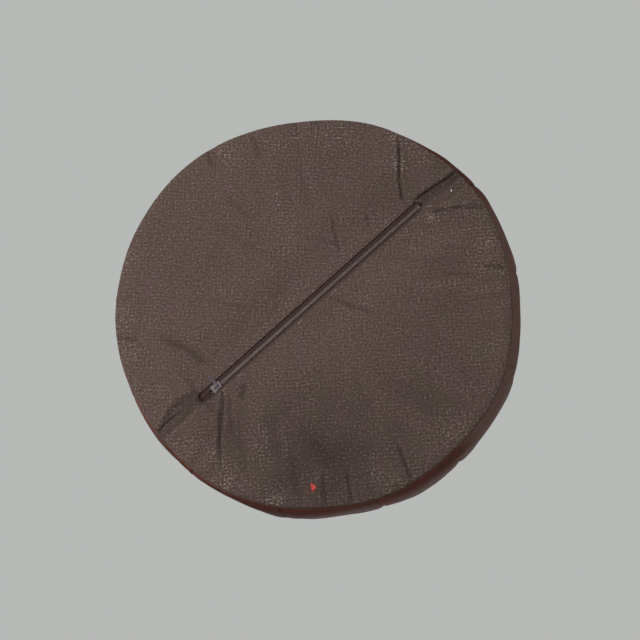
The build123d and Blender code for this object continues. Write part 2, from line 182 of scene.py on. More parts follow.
def length(name, description, millimetres):
    return number(name, description, millimetres * MM, min=0, unit="LENGTH", subtype="DISTANCE", precision=4)


class PoufLeather(bpy.types.PropertyGroup):
    """Sizes and colours of the leather cover."""

    thickness: length("Thickness", "Thickness of the cover leather", 1.6)
    side_draw: length("Side seam draw", "How far an upright seam draws the side in", 1.8)
    crown_draw: length("Crown seam draw", "How far a seam draws the seat down", 5.0)
    notch: length("Seam notch", "Depth of the narrow valley along each seam", 1.6)
    turn_in: length("Turned-in edge", "Leather that shows turned in between two panels", 4.0)
    wrinkle: length("Wrinkle", "Height of the soft wrinkles in the leather", 1.5)
    grain: length("Grain", "Width of one pebble of the leather's grain", 2.2)
    # the dark tone is also the painted shade in seams, folds and creases
    dark: colour("Dark tone", "Leather in folds and deep grain", "361715")
    middle: colour("Middle tone", "Leather on the open panels", "5A291D")
    # the worn tone also stands for a painted highlight along the foot of the side
    light: colour("Worn tone", "Leather where it has rubbed", "8A4632")
    # this tone is partly dusty and partly a painted reflection of the pale floor
    dust_and_reflection: colour("Dust", "Floor dust on the foot of the side", "94776F")
    roughness: number("Roughness", "Roughness of the polished leather", 0.56, min=0, max=1, subtype="FACTOR")


class PoufBase(bpy.types.PropertyGroup):
    """Sizes and colours of the woven base and the zip."""

    thickness: length("Thickness", "Thickness of the base cloth", 1.0)
    lump: length("Lump", "Height of the lumps that the stuffing presses into the base", 1.5)
    float_length: length("Float length", "Length of one thread float in the weave", 3.1)
    row_height: length("Row height", "Distance between two rows of the weave", 5.4)
    weave_turn: number(
        "Weave turn", "Angle from the zip to the weave's rows", math.radians(41), subtype="ANGLE"
    )
    # the gap tone is also the painted shade in creases, along the hem and on the band
    gap: colour("Gap tone", "Dark gaps between the threads", "382A28")
    olive: colour("Olive thread", "The browner patches of thread", "605246")
    plum: colour("Plum thread", "The redder patches of thread", "65504D")
    fleck: colour("Fleck", "Light floats in the weave", "8F7F74")
    # the scuffed tone also stands for painted highlights on the ridges of slack wrinkles
    scuff_and_highlight: colour("Scuff", "Threads that have rubbed pale", "A2968B")
    # tone of the broad patches and recessed bands that are drawn darker
    darkening: colour("Soil", "Cloth that has darkened with dirt", "3C322E")
    tape: colour("Zip tape", "Woven zip tape", "412B2A")
    # tape beside the larger half is drawn darker as painted shade under that half's hem
    shaded_tape: colour("Dirty tape", "Tape beside the larger half, darker with dirt", "39241F")
    teeth: colour("Zip teeth", "Dulled metal of the teeth", "67584F")
    slider: colour("Slider", "Metal of the slider and tab", "5A4F54")
    enamel: colour("Zip enamel", "Dark enamel between the worn parts of the zip", "48363A")


class PoufStage(bpy.types.PropertyGroup):
    """Floor, light and camera."""

    floor: colour("Floor", "Plain pale floor", "B7B9B7")
    ambient: number("Ambient", "Even light from all round", 0.28, min=0)
    lower_lamp: number("Lower lamp", "Power of the lamp that lights the base", 37, min=0, unit="POWER")
    upper_lamp: number("Upper lamp", "Power of the lamp over the seat", 34, min=0, unit="POWER")
    lens: number("Lens", "Focal length on a 36 mm wide sensor", 81.2, min=1, unit="CAMERA")


# Shapes


def smooth_line(points, count):
    """count rows along a natural cubic spline through points, in columns as in points."""
    points = np.array(points, float)
    step = np.sqrt((np.diff(points[:, :2], axis=0) ** 2).sum(1))
    knots = np.concatenate([[0], np.cumsum(step)])
    size = len(points)
    matrix = np.zeros((size, size))
    matrix[0, 0] = matrix[-1, -1] = 1
    right = np.zeros_like(points)
    for i in range(1, size - 1):
        matrix[i, i - 1 : i + 2] = step[i - 1], 2 * (step[i - 1] + step[i]), step[i]
        right[i] = 6 * ((points[i + 1] - points[i]) / step[i] - (points[i] - points[i - 1]) / step[i - 1])
    bend = np.linalg.solve(matrix, right)
    place = np.linspace(0, knots[-1], count)
    i = np.clip(np.searchsorted(knots, place, side="right") - 1, 0, size - 2)
    h = step[i][:, None]
    a = (knots[i + 1] - place)[:, None]
    b = (place - knots[i])[:, None]
    return (
        (bend[i] * a**3 + bend[i + 1] * b**3) / (6 * h)
        + (points[i] / h - bend[i] * h / 6) * a
        + (points[i + 1] / h - bend[i + 1] * h / 6) * b
    )


def scatter(column, row, seed):
    """A fixed random number from 0 to 1 for each whole column and row."""
    mixed = (column * 374761393 + row * 668265263 + seed * 1013904223) & 0x7FFFFFFF
    mixed = ((mixed ^ (mixed >> 13)) * 1274126177) & 0x7FFFFFFF
    mixed = ((mixed ^ (mixed >> 15)) * 69069) & 0x7FFFFFFF
    return ((mixed ^ (mixed >> 16)) & 0xFFFF) / 65535


def ripple(x, y, size, seed):
    """Smooth random height from -1 to 1, with bumps about size across."""
    gx, gy = np.broadcast_arrays(x / size, y / size)
    ix, iy = np.floor(gx).astype(np.int64), np.floor(gy).astype(np.int64)
    fx, fy = gx - ix, gy - iy
    fx, fy = fx**3 * (fx * (6 * fx - 15) + 10), fy**3 * (fy * (6 * fy - 15) + 10)
    low = scatter(ix, iy, seed) * (1 - fx) + scatter(ix + 1, iy, seed) * fx
    high = scatter(ix, iy + 1, seed) * (1 - fx) + scatter(ix + 1, iy + 1, seed) * fx
    return 2 * (low * (1 - fy) + high * fy) - 1


def step_up(x, start, end):
    """0 before start, 1 after end, with a smooth rise between them."""
    t = np.clip((x - start) / (end - start), 0, 1)
    return t * t * (3 - 2 * t)


def bell(x, width):
    """1 at 0, with a smooth fall to next to nothing at twice the width."""
    return np.exp(-((x / width) ** 2))


def round_table(angle, table):
    """Smooth value at each angle of a table that goes once round."""
    place = np.degrees(angle) - SHIFT_START
    gap = 360 / len(table)
    marks = np.arange(-1, len(table) + 1) * gap
    values = (table[-1], *table, table[0])
    near = (np.interp(np.mod(place + turn, 360), marks, values) for turn in (-6, -3, 0, 3, 6))
    return sum(near) / 5


def rim_shift(angle):
    return round_table(angle, RIM_SHIFT)


def wall_shift(angle, height):
    """How far the side stands out of round at each height."""
    up = step_up(height, BASE_SEAM_HEIGHT, 60)
    level = (0.8 + 0.2 * step_up(height, 60, 200)) * (1 - (1 - HEAD_SHARE) * step_up(height, 240, 304))
    return rim_shift(angle) * (1 - up) + round_table(angle, WALL_SHIFT) * up * level


def polar(angle, radius, height):
    return np.stack(np.broadcast_arrays(radius * np.cos(angle), radius * np.sin(angle), height), -1)


def distance_to(x, y, line):
    """Distance from each place to a line of points, and how far along the line it is."""
    best = np.full(np.shape(x), 1e9)
    along = np.zeros(np.shape(x))
    pieces = len(line) - 1
    for i in range(pieces):
        (x1, y1), (x2, y2) = line[i], line[i + 1]
        dx, dy = x2 - x1, y2 - y1
        t = np.clip(((x - x1) * dx + (y - y1) * dy) / (dx * dx + dy * dy), 0, 1)
        gap = np.hypot(x - x1 - t * dx, y - y1 - t * dy)
        nearer = gap < best
        best = np.where(nearer, gap, best)
        along = np.where(nearer, (i + t) / pieces, along)
    return best, along


def new_piece(name, verts, faces, finish):
    """A smooth-shaded mesh that moves with the pouf."""
    mesh = bpy.data.meshes.new(name)
    mesh.from_pydata(verts, [], faces)
    mesh.polygons.foreach_set("use_smooth", [True] * len(mesh.polygons))
    mesh.materials.append(finish)
    piece = bpy.data.objects.new(name, mesh)
    bpy.context.scene.collection.objects.link(piece)
    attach(piece, "pouf")
    return piece


def grid_piece(name, points, finish, wrap=False, marks=None):
    """A mesh of quads through a grid of points in millimetres, with named values at its points."""
    rows, columns = points.shape[:2]
    numbers = np.arange(rows * columns).reshape(rows, columns)
    if wrap:
        numbers = np.concatenate([numbers, numbers[:, :1]], axis=1)
    faces = np.stack([numbers[:-1, :-1], numbers[:-1, 1:], numbers[1:, 1:], numbers[1:, :-1]], -1)
    piece = new_piece(name, (points.reshape(-1, 3) * MM).tolist(), faces.reshape(-1, 4).tolist(), finish)
    for label, values in (marks or {}).items():
        layer = piece.data.attributes.new(label, "FLOAT", "POINT")
        values = np.broadcast_to(np.clip(values, 0, 1), (rows, columns))
        layer.data.foreach_set("value", values.astype(np.float32).ravel())
    return piece


def thicken(piece, thickness, inward=True):
    """Gives a sheet its real thickness, on the stuffing's side."""
    solid = piece.modifiers.new("Cloth thickness", "SOLIDIFY")
    solid.thickness = thickness
    solid.offset = -1 if inward else 1
    solid.use_even_offset = False


def soft_piece(name, points, finish, node, slot, thickness, inward=True, **details):
    """A sheet through points, as thick as the real one, that stands in for a node of the part."""
    piece = grid_piece(name, points, finish, **details)
    thicken(piece, thickness, inward)
    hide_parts(node)
    return piece


def stitches(name, places, headings, finish, radius, long):
    """One mesh of short thread loops, each lying along its heading."""
    sides, rings = 6, ((-1, 0.25), (-0.72, 0.8), (-0.3, 1), (0.3, 1), (0.72, 0.8), (1, 0.25))
    verts, faces = [], []
    for place, heading in zip(places, headings):
        along = Vector(heading).normalized()
        first = along.orthogonal().normalized()
        second = along.cross(first)
        start = len(verts)
        for ring, thick in rings:
            for side in range(sides):
                turn = 2 * math.pi * side / sides
                out = first * math.cos(turn) + second * math.sin(turn)
                spot = Vector(place) + along * (ring * long / 2) + out * (radius * thick)
                verts.append(tuple(spot * MM))
        last = len(verts) - sides
        for ring in range(start, last, sides):
            for side in range(sides):
                a, b = ring + side, ring + (side + 1) % sides
                faces.append((a, b, b + sides, a + sides))
        faces.append(tuple(start + side for side in reversed(range(sides))))
        faces.append(tuple(last + side for side in range(sides)))
    new_piece(name, verts, faces, finish)


# Finishes


def add(tree, kind, sockets=None, **settings):
    """Adds a shader node with its settings, and a value or a link for each socket named or numbered.

    kind is the node's type without the ShaderNode before it, and a node given as a value stands for its
    first output.
    """
    node = tree.nodes.new("ShaderNode" + kind)
    for field, value in settings.items():
        setattr(node, field, value)
    for key, value in (sockets or {}).items():
        if isinstance(value, bpy.types.Node):
            value = value.outputs[0]
        if isinstance(value, bpy.types.NodeSocket):
            tree.links.new(value, node.inputs[key])
        else:
            node.inputs[key].default_value = value
    return node


def full(tone):
    return (*tone, 1.0)


def new_finish(name):
    """A new finish, its node tree, and the place on the piece that its patterns are drawn by."""
    finish = bpy.data.materials.new(name)
    finish.use_nodes = True
    tree = finish.node_tree
    tree.nodes.clear()
    return finish, tree, add(tree, "TexCoord").outputs["Object"]


def surfaced(finish, height, strength, depth, sockets):
    """The finish, ended with its fine relief and its shader."""
    tree = finish.node_tree
    bump = add(tree, "Bump", {"Height": height, "Strength": strength, "Distance": depth})
    shader = add(tree, "BsdfPrincipled", {**sockets, "Normal": bump})
    add(tree, "OutputMaterial", {"Surface": shader})
    return finish


def finish_named(name, maker, *details):
    """The finish of that name, made the first time it is asked for."""
    return bpy.data.materials.get(name) or maker(name, *details)


def leather_finish(name, look):
    """Oxblood full-grain leather, hand-dyed and waxed: mottled dye, pebbled grain, pale rubbed ridges,
    painted shade in seams and creases, a painted highlight along the foot, and a grey cast on one side of the
    foot that is partly dusty and partly a painted reflection of the floor.
    """
    finish, tree, place = new_finish(name)
    wear_and_highlight, painted_shade, dust_and_reflection, dull = (
        add(tree, "Attribute", attribute_name=mark).outputs["Fac"]
        for mark in ("wear_and_highlight", "painted_shade", "dust_and_reflection", "dull")
    )
    # dye patches about 60 mm across
    dye = add(tree, "TexNoise", {"Vector": place, "Scale": 16.0, "Detail": 5.0, "Roughness": 0.6})
    wax = add(tree, "TexNoise", {"Vector": place, "Scale": 95.0, "Detail": 4.0, "Roughness": 0.6})
    # the real grain is about 1 mm, too fine to show from here, so it is drawn twice as wide
    cells = {"Vector": place, "Scale": 1 / look.grain, "Randomness": 0.95}
    grain = add(tree, "TexVoronoi", cells, feature="DISTANCE_TO_EDGE")
    pebble = add(tree, "MapRange", {"Value": grain, "From Max": 0.22})
    patch = add(tree, "MapRange", {"Value": dye, "From Min": 0.3, "From Max": 0.7})
    # rubbed ridges, and a painted highlight along the foot of the side
    rub_and_highlight = add(tree, "Math", {0: wear_and_highlight, 1: wax}, operation="MULTIPLY")
    # painted shade in seams, folds and creases
    painted_shade_share = add(tree, "Math", {0: painted_shade, 1: 0.75}, operation="MULTIPLY")
    # grey cast on one side of the foot: partly dusty, partly a painted reflection of the pale floor
    dust_and_reflection_patches = add(tree, "Math", {0: wax, 1: 1.1, 2: 0.45}, operation="MULTIPLY_ADD")
    dust_and_reflection_veil = add(tree, "Math", {0: dust_and_reflection, 1: dust_and_reflection_patches}, operation="MULTIPLY")
    tone = full(look.dark)
    for amount, over in (
        (patch, look.middle), (0.55, look.middle), (rub_and_highlight, look.light), (painted_shade_share, look.dark), (dust_and_reflection_veil, look.dust_and_reflection)
    ):
        tone = add(tree, "Mix", {0: amount, 6: tone, 7: full(over)}, data_type="RGBA").outputs[2]
    grained = add(tree, "MapRange", {"Value": pebble, "To Min": 0.72})
    tone = add(tree, "Mix", {0: 1.0, 6: tone, 7: grained}, data_type="RGBA", blend_type="MULTIPLY")
    spread = {"To Min": look.roughness - 0.08, "To Max": look.roughness + 0.12}
    polish = add(tree, "MapRange", {"Value": wax, "From Min": 0.3, "From Max": 0.7, **spread})
    rough = add(tree, "Math", {0: dull, 1: 0.35, 2: polish}, operation="MULTIPLY_ADD")
    gloss = add(tree, "MapRange", {"Value": dull, "To Min": 0.32, "To Max": 0.12})
    lines = {"Vector": place, "Scale": 160.0, "Detail": 3.0, "Roughness": 0.5, "Distortion": 0.6}
    height = add(tree, "Math", {0: add(tree, "TexNoise", lines), 1: 0.5, 2: pebble}, operation="MULTIPLY_ADD")
    sockets = {"Base Color": tone.outputs[2], "Roughness": rough, "Specular IOR Level": gloss}
    return surfaced(finish, height, 0.35, 0.0006, sockets)


def base_cloth_finish(name, look, turn):
    """Coarse jute and cotton furnishing cloth: uneven rows of floats, two browns of yarn, pale flecks, pale
    scuffs and painted highlights, painted shade and darker patches where marked.
    """
    finish, tree, place = new_finish(name)
    darkening, scuff_and_highlight, painted_shade = (
        add(tree, "Attribute", attribute_name=mark).outputs["Fac"] for mark in ("darkening", "scuff_and_highlight", "painted_shade")
    )
    # the rows wander by a few millimetres
    wander = add(tree, "TexNoise", {"Vector": place, "Scale": 22.0, "Detail": 2.0}).outputs[1]
    drift = add(tree, "VectorMath", {0: wander, 1: (0.5, 0.5, 0.5)}, operation="SUBTRACT")
    pulled = add(tree, "VectorMath", {0: drift, 1: (0.009, 0.009, 0.0), 2: place}, operation="MULTIPLY_ADD")
    laid = add(tree, "Mapping", {"Vector": pulled, "Rotation": (0.0, 0.0, turn)})
    # yarns are near 1.5 mm, too fine to show from here, so each row stands for three or four of them
    rows = {"Vector": laid, "Scale": math.pi / 10 / look.row_height, "Distortion": 1.2, "Detail": 2.0}
    warp, weft = (add(tree, "TexWave", rows, bands_direction=way).outputs["Fac"] for way in ("X", "Y"))
    stretch = (0.88 / look.float_length, 1.2 / look.float_length, 1.0)
    spun = add(tree, "Mapping", {"Vector": laid, "Scale": stretch})
    floats = add(tree, "TexNoise", {"Vector": spun, "Scale": 1.0, "Detail": 1.5, "Roughness": 0.6})
    crossed = add(tree, "Math", {0: warp, 1: 0.05, 2: floats}, operation="MULTIPLY_ADD")
    woven = add(tree, "Math", {0: weft, 1: 0.07, 2: crossed}, operation="MULTIPLY_ADD")
    patches = add(tree, "TexNoise", {"Vector": place, "Scale": 17.0, "Detail": 6.0, "Roughness": 0.8})
    side = add(tree, "MapRange", {"Value": patches, "From Min": 0.38, "From Max": 0.62})
    deep = {"From Min": 0.38, "From Max": 0.64, "To Min": 0.7, "To Max": 0.0}
    hollow = add(tree, "MapRange", {"Value": woven, **deep})
    # scuffs and painted highlights on wrinkle ridges raise the pale flecks
    rubbed = add(tree, "Math", {0: scuff_and_highlight, 1: 0.09, 2: woven}, operation="MULTIPLY_ADD")
    light = add(tree, "MapRange", {"Value": rubbed, "From Min": 0.64, "From Max": 0.86, "To Max": 0.64})
    worn = add(tree, "Math", {0: light, 1: scuff_and_highlight}, operation="MULTIPLY")
    # painted shade in creases, wrinkle valleys, along the near hem and on the band's upper side
    painted_shade_share = add(tree, "Math", {0: painted_shade, 1: 0.68}, operation="MULTIPLY")
    tone = full(look.olive)
    for amount, over in (
        (side, look.plum), (darkening, look.darkening), (hollow, look.gap), (light, look.fleck), (worn, look.scuff_and_highlight),
        (painted_shade_share, look.gap),
    ):
        tone = add(tree, "Mix", {0: amount, 6: tone, 7: full(over)}, data_type="RGBA").outputs[2]
    sockets = {"Base Color": tone, "Roughness": 0.85, "Specular IOR Level": 0.25}
    return surfaced(finish, woven, 0.3, 0.001, {**sockets, "Sheen Weight": 0.08, "Sheen Roughness": 0.5})


def tape_finish(name, tone):
    """Herringbone-woven polyester tape: fine slanted ribs that turn at the middle of the tape."""
    finish, tree, place = new_finish(name)
    apart = add(tree, "SeparateXYZ", {0: place}).outputs
    # ribs are 0.5 mm in the real tape and are drawn 1.2 mm wide
    rib = apart[1]
    for operation, value in (
        ("SUBTRACT", ZIP_Y * MM), ("ABSOLUTE", 0.0), ("PINGPONG", 0.0055), ("ADD", apart[0]),
        ("MULTIPLY", 2 * math.pi / 0.0012), ("SINE", 0.0),
    ):
        rib = add(tree, "Math", {0: rib, 1: value}, operation=operation)
    fuzz = add(tree, "TexNoise", {"Vector": place, "Scale": 700.0, "Detail": 2.0})
    height = add(tree, "Math", {0: rib, 1: 0.4, 2: fuzz}, operation="MULTIPLY_ADD")
    level = add(tree, "MapRange", {"Value": height, "To Min": 0.6, "To Max": 1.25})
    tone = add(tree, "Mix", {0: 1.0, 6: full(tone), 7: level}, data_type="RGBA", blend_type="MULTIPLY")
    sockets = {"Base Color": tone.outputs[2], "Roughness": 0.7, "Specular IOR Level": 0.25}
    return surfaced(finish, height, 0.4, 0.0003, sockets)


def metal_finish(name, tone, roughness, metallic, pit):
    """Drawn or stamped zinc-plated metal, dulled by handling, with fine pits and darker smears."""
    finish, tree, place = new_finish(name)
    smear = add(tree, "TexNoise", {"Vector": place, "Scale": 260.0, "Detail": 4.0, "Roughness": 0.65})
    pits = add(tree, "TexNoise", {"Vector": place, "Scale": 1 / pit, "Detail": 2.0})
    clean = add(tree, "MapRange", {"Value": smear, "From Min": 0.35, "From Max": 0.7})
    dark = [value * 0.55 for value in tone]
    shaded = add(tree, "Mix", {0: clean, 6: full(dark), 7: full(tone)}, data_type="RGBA").outputs[2]
    rough = add(tree, "MapRange", {"Value": smear, "To Min": roughness + 0.15, "To Max": roughness - 0.1})
    sockets = {"Base Color": shaded, "Metallic": metallic, "Roughness": rough}
    return surfaced(finish, pits, 0.2, 0.0002, sockets)


def enamel_finish(name, metal, enamel, roughness, ridge=None):
    """Stove-enamelled zinc: dark enamel rubbed through to dull metal in patches, or along a ridge, where the
    bare metal also stands for a painted highlight.
    """
    finish, tree, place = new_finish(name)
    rub_and_highlight = add(tree, "TexNoise", {"Vector": place, "Scale": 150.0, "Detail": 3.0, "Roughness": 0.6})
    fine = add(tree, "TexNoise", {"Vector": place, "Scale": 1100.0, "Detail": 2.0})
    bare = add(tree, "MapRange", {"Value": rub_and_highlight, "From Min": 0.44, "From Max": 0.6})
    if ridge:
        # along the closed chain only the crest shows metal: partly rubbed through, partly a painted
        # highlight, and the dark enamel on its flanks is partly painted shade
        middle, half = ridge
        across = add(tree, "SeparateXYZ", {0: place}).outputs[1]
        off = add(tree, "Math", {0: across, 1: middle * MM}, operation="SUBTRACT")
        gap = add(tree, "Math", {0: off}, operation="ABSOLUTE")
        fall = {"From Min": half * MM, "From Max": (half + 0.7) * MM, "To Min": 1.0, "To Max": 0.05}
        crest = add(tree, "MapRange", {"Value": gap, **fall})
        patchy = add(tree, "MapRange", {"Value": rub_and_highlight, "From Min": 0.32, "From Max": 0.6, "To Min": 0.35})
        bare = add(tree, "Math", {0: crest, 1: patchy}, operation="MULTIPLY")
    tone = add(tree, "Mix", {0: bare, 6: full(enamel), 7: full(metal)}, data_type="RGBA").outputs[2]
    shine = add(tree, "MapRange", {"Value": bare, "To Max": 0.35})
    sockets = {"Base Color": tone, "Metallic": shine, "Roughness": roughness}
    return surfaced(finish, fine, 0.25, 0.0002, sockets)


def fibre_finish(name, low, high, size, roughness):
    """Spun, woven or pressed fibres: two tones of fibre in a fine random mat with a soft nap."""
    finish, tree, place = new_finish(name)
    mat = add(tree, "TexNoise", {"Vector": place, "Scale": 1 / size, "Detail": 5.0, "Roughness": 0.7})
    amount = add(tree, "MapRange", {"Value": mat, "From Min": 0.3, "From Max": 0.7})
    tones = {6: full(linear(low)), 7: full(linear(high))}
    tone = add(tree, "Mix", {0: amount, **tones}, data_type="RGBA").outputs[2]
    sockets = {"Base Color": tone, "Roughness": roughness, "Sheen Weight": 0.1}
    return surfaced(finish, mat, 0.5, size / 2, sockets)


def calico_finish(name):
    """Unbleached plain-woven calico: even over-and-under threads with brown seed specks."""
    finish, tree, place = new_finish(name)
    # threads are 0.5 mm apart and are drawn 1.6 mm apart
    threads = {"Color1": full(linear("B5AA92")), "Color2": full(linear("CDC3AC")), "Scale": 1 / 0.0016}
    checks = add(tree, "TexChecker", {"Vector": place, **threads}).outputs
    seeds = add(tree, "TexNoise", {"Vector": place, "Scale": 420.0, "Detail": 2.0})
    speck = add(tree, "MapRange", {"Value": seeds, "From Min": 0.68, "From Max": 0.74})
    tones = {0: speck, 6: checks[0], 7: full(linear("7A6447"))}
    tone = add(tree, "Mix", tones, data_type="RGBA").outputs[2]
    return surfaced(finish, checks[1], 0.3, 0.0003, {"Base Color": tone, "Roughness": 0.85})


def wood_finish(name):
    """Turned beech, left bare: pinkish tan with short darker flecks along the grain."""
    finish, tree, place = new_finish(name)
    drawn = add(tree, "Mapping", {"Vector": place, "Scale": (40.0, 600.0, 600.0)})
    flecks = add(tree, "TexNoise", {"Vector": drawn, "Scale": 1.0, "Detail": 4.0})
    tones = {0: flecks, 6: full(linear("8F6A47")), 7: full(linear("C49A70"))}
    tone = add(tree, "Mix", tones, data_type="RGBA").outputs[2]
    return surfaced(finish, flecks, 0.2, 0.0002, {"Base Color": tone, "Roughness": 0.6})


def dress(node, finish):
    """Gives a CAD node its finish."""
    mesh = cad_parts[node].data
    mesh.materials.clear()
    mesh.materials.append(finish)


# Leather


def drag_creases(seed, count, low, high, half_width):
    """Wrinkles that run in from both seams of a panel, half_width being its half width at each level."""
    creases = []
    for k in range(count):
        pick = [float(scatter(k, place, seed)) for place in range(5)]
        side = 1 if k % 2 else -1
        start = low + (high - low) * (k + pick[0]) / count
        long = 26 + 58 * pick[1]
        lean = 1.1 * (pick[2] - 0.5)
        reach = half_width(start) - 1
        inner = side * max(reach - long, -0.2 * reach)
        middle = side * (reach - 0.45 * long), start + 0.25 * lean * long
        line = (side * reach, start), middle, (inner, start + lean * long)
        creases.append((line, 0.9 + 1.3 * pick[3], 2.8 + 3.4 * pick[4]))
    return creases


def between_seams(columns, crowding):
    """Places across a panel, -1 at one seam and 1 at the other, and how far each is turned in."""
    side = np.sin(np.linspace(-math.pi / 2, math.pi / 2, columns)) * crowding
    side = side + np.linspace(-1, 1, columns) * (1 - crowding)
    over = np.concatenate([TURN_STEPS[::-1], np.zeros(columns), TURN_STEPS])
    return np.concatenate([[-1] * 3, side, [1] * 3])[None, :], over[None, :]


def side_panel(look, number):
    """Points and marks of one side panel, from its turned-in foot to its turned-in head."""
    rows = 132
    s, over_side = between_seams(66, 0.55)
    line = smooth_line(SIDE_LINE, rows)
    line = np.concatenate([np.repeat(line[:1], 3, axis=0), line, np.repeat(line[-1:], 3, axis=0)])
    over_row = np.concatenate([TURN_STEPS[::-1], np.zeros(rows), TURN_STEPS])[:, None]
    is_head = np.repeat([0, 1], rows // 2 + 3)[:, None]
    radius, height, draw = (line[:, i][:, None] for i in range(3))
    arc = s * HALF_PANEL * SIDE_RADIUS
    seam_gap = (1 - np.abs(s)) * HALF_PANEL * SIDE_RADIUS
    foot_gap = np.abs(height - BASE_SEAM_HEIGHT)
    head_gap = np.abs(CROWN_SEAM_HEIGHT - height)
    end_gap = np.minimum(foot_gap, head_gap)
    seed = 100 + number * 17
    where = arc + 400 * number
    puff = -draw * look.side_draw / MM * np.abs(s) ** 2.6
    notch = -look.notch / MM * np.exp(-seam_gap / 2.1) * step_up(end_gap, 0, 12)
    notch = notch * (0.2 + 0.8 * step_up(foot_gap, 110, 230))
    wrinkle = look.wrinkle / MM
    open_panel = step_up(seam_gap, 0, 12) * step_up(end_gap, 2, 22)
    soft = wrinkle * (0.75 * ripple(where, height, 62, seed) + 0.4 * ripple(where, height, 27, seed + 1))
    creases = drag_creases(seed, 9, 24, 292, lambda level: HALF_PANEL * SIDE_RADIUS)
    crease, dark = creased(*np.broadcast_arrays(arc, height), creases, taper=True)
    crease = -crease * wrinkle / 1.5 * step_up(seam_gap, 0, 5)
    pucker = 0.75 * np.exp(-seam_gap / 11) * step_up(seam_gap, 0, 3)
    pucker = pucker * ripple(where * 0.25, height, 8.5, seed + 4)
    gather = 0.9 * np.exp(-end_gap / 13) * step_up(end_gap, 0, 4) * ripple(where, height * 0.2, 10, seed + 5)
    relief = soft * open_panel + crease + pucker + gather
    angle = math.radians(SEAM_TURN) + (2 * number + 1) * HALF_PANEL
    angle = angle + s * (HALF_PANEL - HALF_GAP / FOOT_RADIUS)
    turn_in = look.turn_in / MM
    rise = turn_in * over_row
    out = radius + puff + notch + relief + wall_shift(angle, height)
    out = out - turn_in * over_side - is_head * HEAD_IN * rise
    top = height + (1 - is_head) * rise - is_head * HEAD_DOWN * rise
    hidden = np.maximum(over_side, over_row)
    # painted shade along the upright seams, the crown seam, in the creases and on the turned-in edges
    painted_shade = 0.9 * np.exp(-seam_gap / 2.6) + 0.8 * np.exp(-head_gap / 2.6) + 0.4 * dark + hidden
    # rubbed ridges, with a painted highlight along the foot
    wear_and_highlight = 0.28 + 0.3 * relief / wrinkle + 0.25 * soft / wrinkle
    wear_and_highlight = wear_and_highlight + 0.5 * bell(seam_gap - 7, 5) + 0.9 * bell(foot_gap - 3, 13)
    # the foot has lost its wax on the floor; one side of it gets a grey cast that is partly dusty and partly
    # a painted reflection of the pale floor
    turn = (np.degrees(angle) + 180) % 360 - 180
    dust_and_reflection_side = 0.08 + 0.68 * step_up(turn, -2, 20) * (1 - step_up(turn, 76, 90))
    dust_and_reflection = dust_and_reflection_side * bell(foot_gap, 95) + 0.45 * bell(foot_gap, 6)
    return polar(angle, out, top), {"painted_shade": painted_shade, "wear_and_highlight": wear_and_highlight, "dull": bell(foot_gap, 75), "dust_and_reflection": dust_and_reflection}


